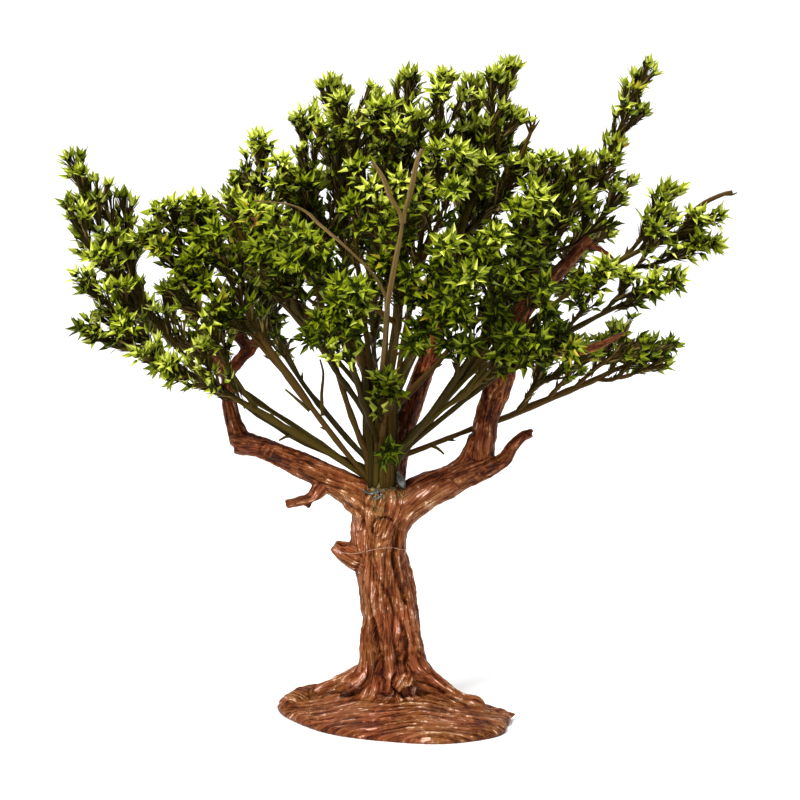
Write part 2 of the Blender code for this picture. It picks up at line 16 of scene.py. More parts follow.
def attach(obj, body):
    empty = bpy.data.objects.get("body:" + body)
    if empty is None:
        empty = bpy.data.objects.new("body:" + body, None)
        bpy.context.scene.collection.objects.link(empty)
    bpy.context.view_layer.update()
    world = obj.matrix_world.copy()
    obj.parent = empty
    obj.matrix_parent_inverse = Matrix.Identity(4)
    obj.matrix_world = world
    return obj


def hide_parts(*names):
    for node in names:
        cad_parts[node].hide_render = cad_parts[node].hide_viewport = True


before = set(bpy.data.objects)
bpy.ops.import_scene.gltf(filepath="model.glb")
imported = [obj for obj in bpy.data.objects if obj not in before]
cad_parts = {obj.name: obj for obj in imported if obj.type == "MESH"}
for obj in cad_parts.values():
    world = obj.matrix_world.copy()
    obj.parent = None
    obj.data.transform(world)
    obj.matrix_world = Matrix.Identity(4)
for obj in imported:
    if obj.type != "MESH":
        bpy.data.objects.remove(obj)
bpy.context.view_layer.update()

MM = 0.001
SEED = 20

EYE = np.array([1.2, -550.0, 140.0])            # of the camera
EYE_DROP = 4.45                 # degrees below level
LENS = 82.5
SENSOR = 36.0
PICTURE = 800                   # pixels each way
FOCUS = LENS / SENSOR * PICTURE                 # in pixels

# ---------------------------------------------------------------- the source's sizes

BASE_HALF_LENGTH = 39.5
BASE_HALF_WIDTH = 25.7
BASE_TURN = math.radians(-38)
BASE_MIDDLE = np.array([-2.4, 0.3])
RIM_HEIGHT = 2.2
SEAT_HEIGHT = 8.4
SEAT_RADIUS = 12.0
BASE_SIDES = 96

# height, middle, half width and half depth of each station
TRUNK = [(5.5, -1.3, 9.8, 9.2), (8.7, -1.3, 9.4, 8.8), (12, -1.3, 9, 8.4), (17, -1.3, 8.7, 8),
         (24, -1.5, 8.6, 7.6), (32, -2, 8.1, 7.2), (42, -3.6, 7.9, 7), (50, -4.6, 7.7, 7),
         (57, -4.8, 8.1, 7.2), (63, -3.8, 9.4, 7.6), (67.5, -3.2, 8.6, 7.2), (70, -3.4, 6, 5.8)]
TRUNK_SIDES = 48
ROOT_FLARE = 0.26
ROOT_FADE = 8.0
ROOT_DIRECTIONS = [math.radians(a) for a in (-28, 88, 152, 222)]

GLUE_TOP = 75.0
GLUE_RADIUS = 7.6
BUNDLE_MIDDLE = np.array([-4.6, 0.0, 0.0])
BUNDLE_FOOT = 71.0
BUNDLE_TOP = 98.0
BUNDLE_FOOT_RADIUS = 5.0
BUNDLE_TOP_RADIUS = 5.8

LIMBS = {                       # x, y, z and radius of the stations of each
    "root_right": [(2.6, -2.6, 17.6, 4.4), (6.9, -4.2, 14.6, 3.8), (12.4, -6, 11.2, 2.9),
        (16.6, -6.8, 8.9, 2.4), (20, -6.9, 7.2, 2), (23.6, -6.6, 5.8, 2.7), (26.5, -6.6, 4, 1.6)],
    "root_left": [(-7, -2, 15, 4), (-13, -0.5, 11.8, 3.4), (-18.5, 1.5, 9.6, 2.7), (-24, 3.5, 7, 2.2)],
    "root_back": [(-1, 6, 14, 3.8), (-1, 11, 10.5, 3.2), (0, 16, 7.2, 2.2), (1, 20, 4.4, 1.2)],
    "buttress_left": [(-8.2, -2.6, 32.5, 1.2), (-8.8, -4, 27.5, 1.9), (-8.6, -4.6, 22.5, 2.4),
        (-8.5, -5.2, 18.5, 2.8), (-9.6, -5, 14.6, 3.2), (-12.4, -4, 12.2, 3), (-15.8, -2.8, 10.8, 2.3)],
    "foot_knob": [(-13.6, -5.2, 11, 1.7), (-16.2, -4.4, 10.2, 1.5), (-18.2, -3.4, 9.4, 1.1)],
    "buttress_middle": [(-3.4, -1.6, 44, 2.2), (-2.6, -4.9, 34, 2.6), (-2.2, -6, 24, 2.7),
        (-2.6, -7.2, 15, 2.7), (-3.4, -9.2, 9.6, 2.4)],
    "buttress_right": [(0.6, 0.6, 46, 2.4), (3, -3, 34, 3), (4.6, -4.6, 24, 3.3), (6.6, -5, 17.5, 3.3),
        (9.5, -5, 14, 2.6)],
    "rib_right": [(0, 0, 50, 3.6), (0.9, 0, 44, 4), (2.2, 0, 37, 4.1), (3.2, 0, 28, 4.2),
        (3.6, 0, 20, 4.2)],
    "rib_left": [(-8.6, 0, 66, 4.2), (-9.5, 0, 60, 4), (-9.6, 0, 54, 4), (-8.6, 0, 47, 4.1),
        (-7.2, 0, 40, 4.1), (-6.8, 0, 33, 3.9)],
    "riser_flare": [(17.4, -0.8, 75.8, 2.6), (21.6, -0.4, 79.8, 2.5), (24.3, 0, 86, 2.4)],
    "trunk_stub": [(-6, -1, 46, 4.2), (-12, -1.5, 49.4, 3.7), (-15.8, -1.8, 51.8, 3),
        (-18.4, -2, 53.6, 2)],
    "left_bough": [(-3, 0, 63.5, 5.4), (-12.4, -0.5, 69.2, 4.7), (-21.4, -1, 74.2, 4),
        (-32, -1, 79.2, 3.5), (-40.6, 0, 82.8, 3), (-48.3, 1, 84.4, 3.6)],
    "left_web": [(-13, -1.2, 68.3, 4.2), (-9, -1.8, 64.2, 4.3), (-8, -1.8, 58, 4.1),
        (-7.8, -1.6, 51, 3.9)],
    "left_twig_stub": [(-21, -1, 73.6, 2.6), (-23, -3, 70.4, 2.4), (-25.8, -4, 67.8, 1.7),
        (-29.4, -4.4, 67, 1.5), (-33, -4.5, 66.2, 1.3)],
    "stub_spur": [(-26, -4, 67, 1), (-26.2, -4.4, 65.8, 0.8), (-26.4, -4.6, 64.8, 0.5)],
    "left_riser": [(-46.8, 1, 84.4, 3.3), (-49.2, 2, 91.2, 2.6), (-50.8, 3, 98.7, 2),
        (-50.8, 3, 106.5, 2.1)],
    "left_fork_stub": [(-50.8, 3, 104.5, 1.9), (-55.8, 3.5, 109.8, 1.8), (-61.2, 4, 115.3, 1.2)],
    "left_fork_right": [(-50.4, 3, 105.5, 2), (-46.5, 2.5, 109.8, 1.9), (-43, 2, 113.2, 1.7),
        (-40.3, 2, 118.3, 0.9)],
    "left_fork_top": [(-44, 2.2, 112.2, 1.9), (-47.8, 3.5, 117.2, 2), (-51, 4.5, 122.5, 1.7),
        (-54.3, 5, 128.3, 1.1)],
    "right_bough": [(-3, 0, 62, 6.6), (8.8, -0.5, 69.8, 5.3), (14.5, -0.8, 72, 4.8),
        (20.5, -1, 74.7, 4.2), (29.2, -1, 78.2, 3.5)],
    "right_web": [(16, -1.4, 72, 4.4), (8.6, -2, 68.6, 4.6), (2.4, -2.9, 63.6, 4.3),
        (-0.2, -3.1, 57.5, 3.6), (-0.4, -2.6, 50, 3.3), (0.2, -2.4, 43, 3.2)],
    "right_stub": [(28.3, -1.5, 76.6, 2.2), (32.2, -2.5, 79.2, 2.2), (35.2, -3.5, 83.7, 1.8),
        (38.2, -4.2, 86.8, 1.4), (40.9, -4.5, 88.6, 0.7)],
    "stub_prong": [(37.4, -4, 86, 1.1), (39, -4.6, 86.5, 0.9), (41, -5.2, 87, 0.5)],
    "right_riser": [(25.4, -0.5, 77.2, 3.5), (26.2, 0, 84, 3.6), (27.4, 0.5, 91.2, 3.6),
        (29.8, 1, 98.5, 3.8), (31.5, 1, 104.5, 4.1), (33.2, 1, 112.5, 3.6)],
    "right_top": [(32.4, 1, 110, 3.3), (35.4, 1, 117.5, 3.1), (38.8, 1, 124.8, 2.9),
        (49.1, 0, 136.2, 2.1), (58, -1, 145.7, 1.5)],
    "right_top_twig": [(55.5, -0.8, 143.2, 1.1), (60.5, -1.8, 142.6, 0.9), (64.8, -2.2, 139.8, 0.6)],
    "right_side_twig": [(32.6, 0.5, 109.6, 2.1), (40, -2.5, 111.4, 1.7), (56, -6, 112.6, 1.3),
        (67.7, -8, 117.7, 0.7)],
    "middle_bough": [(-1, 3, 66, 4.2), (-0.6, 8.8, 75.8, 3.6), (2.4, 11.2, 87.2, 3.3),
        (5.6, 12.4, 97.3, 3.3), (10.2, 13.4, 109.5, 3.1), (12.9, 13.6, 119, 2.6), (12.7, 13.6, 127, 2)],
    "middle_twig": [(12.6, 14.1, 118, 1.8), (18.5, 17, 127.4, 1.6), (25.4, 20, 136.1, 1.1)],
    "back_bough": [(-6, 3, 65, 4), (-6, 8.6, 75, 3.4), (-6.4, 15, 94, 3.1), (-9.8, 19.6, 108.5, 2.7),
        (-18.5, 24, 117.6, 2.5), (-30.3, 27, 122.9, 2.2)],
    "back_twig": [(-26.4, 26, 121.4, 1.7), (-31, 28, 125.2, 1.3), (-36.2, 30, 128.4, 0.8)],
}
LUMPS = {                       # of the skin, with no bark ridges of their own
    "knot_boss": [(2.4, -5, 13.8, 4.4), (2.7, -8.2, 12.6, 4.2)],
    "base_swell": [(-22, 9, 5.3, 3.3), (-26, 8, 5, 3.5), (-30, 6, 4.3, 3.4), (-33.2, 2.4, 2.8, 2.5)],
    "right_corner": [(22, 4, 1.8, 2), (28, 1.4, 1.8, 2), (32.4, -1.4, 1.5, 1.5), (34.8, -3.6, 1.6, 0.8),
        (36.2, -4.4, 2.2, 0.3)],
    "right_edge": [(33.6, -3, 1.4, 1.3), (32.6, -9, 1.5, 1.6), (29.6, -15, 1.6, 1.8)],
}
LIMB_STEPS = 8
LIMB_SIDES = 24

Spray = namedtuple("Spray", "foot reach bow leafy forks")
SPRAYS = {
    "left_low": Spray(74.6, (-93, -20, 121.5), -2.4, 0.64, [(0.66, (-94, -20, 136), 1),
        (0.42, (-63, -22, 141), 2), (0.3, (-77, -21, 113.5), -1)]),
    "far_left": Spray(77.4, (-98, -9, 169), 14.5, 0.56, [(0.6, (-99, -14, 157), 1),
        (0.62, (-83, 4, 159), 3), (0.7, (-88, -3, 159), -1)]),
    "left_mid": Spray(76, (-61, -22, 158), 3.2, 0.54, [(0.36, (-71, -22, 157), 1),
        (0.46, (-76, -18, 148), -1)]),
    "left_high": Spray(98, (-66, 18, 156), -1.5, 0.58, [(0.5, (-58, 14, 163), 0),
        (0.4, (-49, 4, 165), 1)]),
    "left_front": Spray(95, (-44, -30, 158), 2, 0.44, [(0.55, (-41, -22, 177), 2),
        (0.34, (-26, -30, 120), -1)]),
    "left_inner": Spray(85, (-27.5, -12, 184), 5, 0.5, [(0.45, (-35, -38, 147), 3),
        (0.55, (-32, -4, 166), 1)]),
    "top_left": Spray(BUNDLE_TOP, (-20, -5, 193.5), 2, 0.45, [(0.62, (-9, -14, 191), 1)]),
    "top_centre": Spray(BUNDLE_TOP, (4, 6, 196.5), 1, 0.42, [(0.45, (-4, -20, 186), 3),
        (0.6, (-9, 8, 191), 1)]),
    "top_mid": Spray(BUNDLE_TOP, (15, -16, 195), 1, 0.4, [(0.42, (19, -30, 174), 2)]),
    "top_right": Spray(BUNDLE_TOP, (34.5, -8, 197.5), 2, 0.48, [(0.62, (23, 4, 194), 2),
        (0.5, (40, 1, 171), 1), (0.6, (37.5, 2, 182), -1)]),
    "right_inner": Spray(83, (43, -34, 161), 6, 0.46, [(0.52, (28, -44, 150), 2),
        (0.34, (21, -34, 119), -1)]),
    "right_tall": Spray(80.6, (77.5, 6, 198), 4.5, 0.6, [(0.56, (72, 1, 163.5), 3),
        (0.68, (73, 6, 177), 1)]),
    "far_right": Spray(81, (94, -18, 155), -7.5, 0.82, [(0.78, (82.5, -9, 161.5), 1),
        (0.7, (95, -21, 145), 1)]),
    "right_mid": Spray(81, (82.5, -24, 136), -4, 0.8, [(0.66, (62, -31, 141), 1),
        (0.8, (74, -20, 140), 0)]),
    "right_low": Spray(80, (89, 20, 114), 1, 0.79, [(0.74, (85.5, 15, 107.5), 1), (0.46, (50, 4, 121), 0),
        (0.56, (60, 6, 114), 0), (0.44, (51, 2, 109), -1), (0.66, (78, 12, 117), -1)]),
    "right_front": Spray(81.5, (53.5, -28, 118), -4.5, 0.56, [(0.5, (38, -34, 122), 1),
        (0.46, (44, -34, 136), 1), (0.44, (46, -27, 128), -1)]),
    "upper_right": Spray(81.2, (56, -8, 171), 4, 0.48, [(0.55, (44, -14, 171), 1)]),
    "front_tuft": Spray(84, (-3, -24, 107), 1, 0.45, [(0.02, (2.6, -12.5, 81), 0)]),
    "front_right": Spray(97, (19, -45, 131), -4, 0.56, [(0.62, (23, -50, 139), 1),
        (0.3, (8, -30, 124), 1), (0.45, (14, -45, 148), 0)]),
    "front_left": Spray(88, (-17, -47, 132), 3, 0.56, [(0.62, (-11, -52, 136), 1)]),
    "front_mid": Spray(95, (5, -40, 167), 4, 0.4, [(0.42, (-38, -44, 155), 1),
        (0.62, (-8, -42, 164), 1)]),
    "back_left_low": Spray(74.6, (-87, 27, 126), 0.3, 0.62, [(0.5, (-72, 42, 131), 2)]),
    "back_left": Spray(79.6, (-56, 39, 151), 5.5, 0.46, [(0.5, (-46, 54, 130), 2)]),
    "back_left_up": Spray(95, (-36, 43, 171), 2, 0.44, [(0.46, (-30, 59, 147), 2)]),
    "back_top_left": Spray(BUNDLE_TOP, (-16, 28, 188), 3, 0.45, []),
    "back_mid": Spray(93, (-9, 62, 151), 6, 0.42, [(0.48, (1, 46, 173), 2)]),
    "back_top": Spray(BUNDLE_TOP, (-1, 34, 188), 2, 0.42, []),
    "back_right_mid": Spray(BUNDLE_TOP, (27, 58, 146), 2, 0.44, [(0.5, (34, 46, 167), 2)]),
    "back_top_right": Spray(BUNDLE_TOP, (32, 28, 183), 3, 0.45, []),
    "back_right": Spray(96, (56, 42, 158), 2, 0.44, [(0.5, (45, 55, 136), 2)]),
    "back_right_low": Spray(82, (69, 31, 153), 0, 0.62, [(0.56, (82, 40, 106), 0)]),
}
SLIM = ("right_tall", "far_left", "left_low", "far_right", "right_mid")
SLIM_SHARE = 0.62               # of a twig's length on the slim sprays
GAP = 0.3
TOP_SPREAD = 0.22
STEM_RADIUS = 0.95
STEM_TIP_RADIUS = 0.5
FORK_RADIUS = 0.75
FORK_LEAFY = 0.34
TIP_SHOOT = 8.0
SHOOT_TURN = math.radians(137.5)
SHOOT_RISE = 0.22

# ---------------------------------------------------------------- the finer growth

STEM_COLOURS = [                # name, colour and roughness
    ("stem_olive", (0.046, 0.031, 0.003), 0.5), ("stem_dark", (0.024, 0.016, 0.0015), 0.5),
    ("stem_brown", (0.052, 0.027, 0.004), 0.5), ("stem_pale", (0.135, 0.088, 0.030), 0.45),
    ("stem_tan", (0.090, 0.058, 0.018), 0.45),
]
STRAND_COLOURS = [
    ("straw", (0.20, 0.135, 0.045), 0.55), ("moss", (0.055, 0.050, 0.014), 0.6),
    ("thread", (0.36, 0.21, 0.14), 0.4),
]
STEM_OLIVE, STEM_DARK, STEM_BROWN, STEM_PALE, STEM_TAN = range(5)       # in their list
BUNDLE_STRANDS = 24
STRAND_TOP = 106.0
STRAND_DROP = 9.0               # of a low stem's own strand inside the bundle
SPURS = 2                       # on each stem and fork
STEM_STEPS = 22                 # lengths in a drawn stem
FORK_STEPS = 12
STEM_SIDES = 7
TWIG_SPACING = 7.8              # of the side twigs on a stem
TWIG_LENGTH = 16.0
TWIG_RADIUS = 0.36
TWIG_SIDES = 4
TWIG_LEAN = (math.radians(40), math.radians(22))      # where leaves start, and at the tip
TWIG_LEAFY = 0.22
SHOOT_SPACING = 3.25            # of the shoots on stems and twigs alike
SHOOT_LENGTH = 8.8              # from the stem to the star's leaf tips
SHOOT_LEAN = (math.radians(32), math.radians(18))
TIP_SHOOTS = 3
SHORT_SHARE = 0.66              # of a shoot on the shortest forks
TWIG_SHARE = 0.88               # of a shoot on the side twigs
RADIUS_SCATTER = 0.12           # of a stem along its length
FORK_SWELL = 0.35               # of a stem's radius where it forks
FORK_SWELL_RUN = 0.07           # of its length
RANK_SCATTER = 0.55             # of the two ranks of shoots round their axis
LEAVES = 6                      # in a star
STRIPS = 10                     # short bracts on a shoot's neck


# ---------------------------------------------------------------- numbers

def lattice(cells, seed):
    """A fixed pseudo-random number, -1 to 1, for each row of whole numbers."""
    mix = cells[:, 0] * 73856093 ^ cells[:, 1] * 19349663 ^ cells[:, 2] * 83492791
    mix = (mix ^ seed * 40503) * 1274126177
    mix = (mix ^ (mix >> 15)) * 668265263
    return ((mix ^ (mix >> 13)) & 0xFFFF) / 32767.5 - 1


def noise(spots, seed):
    """Smooth gradient noise, about -1 to 1, at rows of points."""
    cells = np.floor(spots).astype(np.int64)
    part = spots - cells
    fade = part * part * part * (part * (part * 6 - 15) + 10)
    total = np.zeros(len(spots))
    for corner in np.ndindex(2, 2, 2):
        step = np.array(corner)
        weight = np.prod(np.where(step, fade, 1 - fade), axis=1)
        away = part - step
        slope = sum(lattice(cells + step, seed * 3 + axis) * away[:, axis] for axis in range(3))
        total += weight * slope
    return total * 1.4


def smooth_step(low, high, values):
    t = np.clip((values - low) / (high - low), 0, 1)
    return t * t * (3 - 2 * t)


def unit(vectors):
    return vectors / np.maximum(np.linalg.norm(vectors, axis=-1, keepdims=True), 1e-9)


def smooth_row(stations, steps):
    """Points of a Catmull-Rom curve through the stations, as the source draws its limbs."""
    rows = np.array(stations, float)
    rows = np.vstack([2 * rows[0] - rows[1], rows, 2 * rows[-1] - rows[-2]])
    points = []
    for a, b, c, d in zip(rows, rows[1:], rows[2:], rows[3:]):
        for step in range(steps):
            t = step / steps
            points.append(0.5 * (2 * b + (c - a) * t + (2 * a - 5 * b + 4 * c - d) * t ** 2
                                 + (3 * b - a - 3 * c + d) * t ** 3))
    points.append(rows[-2])
    return np.array(points)


def carried_frames(points):
    """Directions along a path, with two square directions that don't twist round it."""
    along = unit(np.gradient(points, axis=0))
    start = np.array([0.0, 1.0, 0.0]) if abs(along[0][1]) < 0.9 else np.array([1.0, 0.0, 0.0])
    sides = [unit(start - along[0] * (start @ along[0]))]
    for direction in along[1:]:
        sides.append(unit(sides[-1] - direction * (sides[-1] @ direction)))
    sides = np.array(sides)
    return along, sides, np.cross(along, sides)


# ---------------------------------------------------------------- meshes

class Skin:
    """Points, triangles and their materials, gathered from many small shapes."""

    def __init__(self):
        self.points, self.faces, self.kinds, self.count = [], [], [], 0

    def add(self, points, faces, kinds=0):
        self.points.append(np.asarray(points, float).reshape(-1, 3))
        self.faces.append(np.asarray(faces, int).reshape(-1, 3) + self.count)
        self.kinds.append(np.broadcast_to(kinds, len(self.faces[-1])))
        self.count += len(self.points[-1])

    def add_rings(self, rings, kinds=0):
        """A closed skin through rings of the same number of points."""
        rings = np.asarray(rings, float)
        count, sides = rings.shape[:2]
        here = np.arange(sides)
        beside = (here + 1) % sides
        faces = []
        for row in range(count - 1):
            low, high = row * sides, (row + 1) * sides
            faces.append(np.stack([low + here, low + beside, high + beside], 1))
            faces.append(np.stack([low + here, high + beside, high + here], 1))
        foot, top = count * sides, count * sides + 1
        last = (count - 1) * sides
        faces.append(np.stack([np.full(sides, foot), beside, here], 1))
        faces.append(np.stack([np.full(sides, top), last + here, last + beside], 1))
        ends = [rings[0].mean(0), rings[-1].mean(0)]
        self.add(np.vstack([rings.reshape(-1, 3), ends]), np.vstack(faces), kinds)

    def add_tube(self, points, radii, sides, kinds=0):
        points = np.asarray(points, float)
        radii = np.broadcast_to(radii, len(points))
        _, side, other = carried_frames(points)
        angles = math.tau * np.arange(sides) / sides
        ring = (np.cos(angles)[None, :, None] * side[:, None]
                + np.sin(angles)[None, :, None] * other[:, None])
        self.add_rings(points[:, None] + ring * radii[:, None, None], kinds)

    def mesh_object(self, name, materials=(), smooth=True):
        points = np.vstack(self.points) * MM
        faces = np.vstack(self.faces)
        mesh = bpy.data.meshes.new(name)
        mesh.vertices.add(len(points))
        mesh.vertices.foreach_set("co", points.astype(np.float32).ravel())
        mesh.loops.add(faces.size)
        mesh.loops.foreach_set("vertex_index", faces.astype(np.int32).ravel())
        mesh.polygons.add(len(faces))
        mesh.polygons.foreach_set("loop_start", np.arange(0, faces.size, 3, dtype=np.int32))
        for material in materials:
            mesh.materials.append(material)
        kinds = np.concatenate(self.kinds).astype(np.int32)
        mesh.polygons.foreach_set("material_index", kinds)
        mesh.polygons.foreach_set("use_smooth", np.full(len(faces), smooth))
        mesh.update(calc_edges=True)
        mesh.validate()
        return placed(name, mesh)


def placed(name, data):
    """A new object in the scene."""
    item = bpy.data.objects.new(name, data)
    bpy.context.scene.collection.objects.link(item)
    return item


def apply_modifiers(item):
    bpy.context.view_layer.update()
    graph = bpy.context.evaluated_depsgraph_get()
    mesh = bpy.data.meshes.new_from_object(item.evaluated_get(graph), depsgraph=graph)
    item.modifiers.clear()
    old = item.data
    item.data = mesh
    bpy.data.meshes.remove(old)


def vertex_rows(item, field):
    flat = np.empty(len(item.data.vertices) * 3, np.float32)
    item.data.vertices.foreach_get(field, flat)
    return flat.reshape(-1, 3).astype(float)


def places_and_normals(item):
    return vertex_rows(item, "co") / MM, vertex_rows(item, "normal")


def move_points(item, spots):
    item.data.vertices.foreach_set("co", (spots * MM).astype(np.float32).ravel())
    item.data.update()


def give_material(item, material):
    item.data.materials.clear()
    item.data.materials.append(material)


def remeshed(item, voxel, smoothing):
    """Runs the overlapping shells of a piece together into one even skin."""
    remesh = item.modifiers.new("skin", "REMESH")
    remesh.mode = "VOXEL"
    remesh.voxel_size = voxel * MM
    remesh.use_smooth_shade = True
    soften = item.modifiers.new("soften", "SMOOTH")
    soften.factor = 0.5
    soften.iterations = smoothing
    apply_modifiers(item)


# ---------------------------------------------------------------- materials

def new_material(name, colour, roughness, specular=0.5, coat=0.0):
    """A principled material whose plain numbers sit on the shader's own sockets."""
    material = bpy.data.materials.new(name)
    material.use_nodes = True
    material.diffuse_color = (*colour, 1)
    shader = material.node_tree.nodes["Principled BSDF"]
    shader.inputs["Base Color"].default_value = (*colour, 1)
    shader.inputs["Roughness"].default_value = roughness
    shader.inputs["Specular IOR Level"].default_value = specular
    shader.inputs["Coat Weight"].default_value = coat
    return material, material.node_tree, shader


def node(tree, kind, **values):
    made = tree.nodes.new(kind)
    for key, value in values.items():
        if hasattr(made, key):
            setattr(made, key, value)
        else:
            made.inputs[key.replace("_", " ")].default_value = value
    return made


def surface_noise(tree, scale, detail=3.0, roughness=0.6):
    """Noise in the piece's own coordinates, with about that many features to the metre."""
    place = node(tree, "ShaderNodeTexCoord")
    grain = node(tree, "ShaderNodeTexNoise", Scale=scale, Detail=detail, Roughness=roughness)
    tree.links.new(place.outputs["Object"], grain.inputs["Vector"])
    return grain.outputs["Fac"]


def ramp(tree, source, stops):
    made = node(tree, "ShaderNodeValToRGB")
    row = made.color_ramp.elements
    while len(row) < len(stops):
        row.new(0.5)
    for element, (place, colour) in zip(row, stops):
        element.position = place
        element.color = (*colour, 1)
    tree.links.new(source, made.inputs["Fac"])
    return made.outputs["Color"]


def add_bump(tree, shader, source, strength, distance):
    bump = node(tree, "ShaderNodeBump", Strength=strength, Distance=distance)
    tree.links.new(source, bump.inputs["Height"])
    tree.links.new(bump.outputs["Normal"], shader.inputs["Normal"])


def mapped(tree, source, low, high, to_low=0.0, to_high=1.0):
    """A value spread from one range to another."""
    spread = node(tree, "ShaderNodeMapRange", From_Min=low, From_Max=high,
                  To_Min=to_low, To_Max=to_high)
    tree.links.new(source, spread.inputs["Value"])
    return spread.outputs["Result"]


def vary_roughness(tree, shader, source, low, high):
    tree.links.new(mapped(tree, source, 0.3, 0.7, low, high), shader.inputs["Roughness"])


def maths(tree, operation, *values, clamp=False):
    """The result of a math node over sockets and plain numbers."""
    made = node(tree, "ShaderNodeMath", operation=operation, use_clamp=clamp)
    for port, value in zip(made.inputs, values):
        if isinstance(value, float):
            port.default_value = value
        else:
            tree.links.new(value, port)
    return made.outputs["Value"]


def ridged(tree, place, scale, sharpness):
    """Long ridges with thin grooves between them: 0 in a groove, 1 on top."""
    grain = node(tree, "ShaderNodeTexNoise", Scale=scale, Detail=1.0, Roughness=0.5)
    tree.links.new(place, grain.inputs["Vector"])
    away = maths(tree, "ABSOLUTE", maths(tree, "SUBTRACT", grain.outputs["Fac"], 0.5))
    return maths(tree, "MULTIPLY", away, sharpness, clamp=True)


def weighted(tree, parts):
    """The sum of several values, each times its own weight."""
    total = 0.0
    for value, weight in parts:
        total = maths(tree, "MULTIPLY_ADD", value, weight, total)
    return total


def pale_paint_and_highlight_lines(tree, hollow, patches):
    """Thin broken pale lines along the ridge tops, partly pale dry-brushed paint and partly painted
    highlight: 1 on a line, 0 elsewhere.
    """
    line = maths(tree, "SUBTRACT", 1.0, hollow)
    return maths(tree, "MULTIPLY", line, mapped(tree, patches, 0.47, 0.60))


# from the painted shade deep in the grooves to the pale pink painted highlight on the ridge tops
BARK_COLOURS = [(0.24, (0.020, 0.0028, 0.0006)), (0.40, (0.098, 0.021, 0.0042)),
                (0.62, (0.203, 0.059, 0.0165)), (0.84, (0.290, 0.113, 0.0500)),
                (1.0, (0.72, 0.440, 0.340))]
BARK_TINTS = [(0.36, (1.05, 0.90, 0.94)), (0.5, (1.0, 1.0, 1.0)), (0.64, (0.97, 1.07, 0.90))]


def bark_material():
    """Varnished red-brown moulding, with painted shade dark in its grooves and pale lines on its ridges
    that are partly dry-brushed paint and partly painted highlight.
    """
    material, tree, shader = new_material("moulded_bark", (0.21, 0.062, 0.017), 0.38, 0.09)
    relief = node(tree, "ShaderNodeAttribute", attribute_name="relief").outputs["Fac"]
    place = node(tree, "ShaderNodeAttribute", attribute_name="grain_place").outputs["Vector"]
    broad = ridged(tree, place, 1.35, 7.0)
    narrow = ridged(tree, place, 3.0, 6.0)
    hollow = ridged(tree, place, 2.0, 11.0)
    lumps = surface_noise(tree, 420)
    crest = pale_paint_and_highlight_lines(tree, hollow, lumps)
    # colour level: painted shade in the grooves, pale crests partly dry-brushed paint and partly painted
    # highlight
    level = weighted(tree, [(relief, 0.42), (broad, 0.26), (narrow, 0.08), (crest, 0.38),
                            (lumps, 0.33)])
    warm = node(tree, "ShaderNodeMix", data_type="RGBA", blend_type="MULTIPLY")
    warm.inputs["Factor"].default_value = 1.0
    tree.links.new(ramp(tree, level, BARK_COLOURS), warm.inputs["A"])
    tree.links.new(ramp(tree, surface_noise(tree, 90, 2, 0.5), BARK_TINTS), warm.inputs["B"])
    tree.links.new(warm.outputs["Result"], shader.inputs["Base Color"])
    fine = surface_noise(tree, 1500)
    vary_roughness(tree, shader, fine, 0.30, 0.52)
    height = weighted(tree, [(broad, 0.5), (narrow, 0.18), (crest, 0.40), (lumps, 0.45),
                             (fine, 0.12)])
    add_bump(tree, shader, height, 0.9, 0.0005)
    return material


Grain = namedtuple("Grain", "scale detail mix smoother bump depth")
STEM_GRAIN = Grain(900, 3, 0.6, 0.10, 0.45, 0.0002)
LEAF_GRAIN = Grain(1400, 2, 0.5, 0.08, 0.25, 0.0001)
ROUGHER = 0.12


def plastic_material(name, colour, roughness, specular=0.06, grain=STEM_GRAIN):
    """Satin plastic, a little uneven. Its colour is plain for the export."""
    material, tree, shader = new_material(name, colour, roughness, specular)
    spots = surface_noise(tree, grain.scale, grain.detail, grain.mix)
    vary_roughness(tree, shader, spots, roughness - grain.smoother, roughness + ROUGHER)
    add_bump(tree, shader, spots, grain.bump, grain.depth)
    return material


def glue_material(name, colour, finish, cloud, colours, bump):
    """Set glue, whose colour drifts. The finish is roughness, specular level and coat."""
    material, tree, shader = new_material(name, colour, *finish)
    spots = surface_noise(tree, *cloud)
    tree.links.new(ramp(tree, spots, colours), shader.inputs["Base Color"])
    add_bump(tree, shader, spots, *bump)
    return material, shader


def clear_glue_material():
    """Clear set glue, seen as grey."""
    material, shader = glue_material("hot_glue", (0.20, 0.20, 0.18), (0.25, 0.5, 0.2), (500,),
                                     [(0.38, (0.035, 0.033, 0.027)), (0.66, (0.17, 0.17, 0.155))],
                                     (0.3, 0.0003))
    shader.inputs["Transmission Weight"].default_value = 0.2
    return material


def crust_material():
    """Glue with bark and moss dust set in it."""
    dust = [(0.36, (0.012, 0.009, 0.002)), (0.50, (0.060, 0.046, 0.012)),
            (0.64, (0.190, 0.125, 0.045))]
    return glue_material("dusty_glue", (0.060, 0.045, 0.015), (0.5, 0.25), (700, 4, 0.65), dust,
                         (0.7, 0.0004))[0]


# ---------------------------------------------------------------- bark

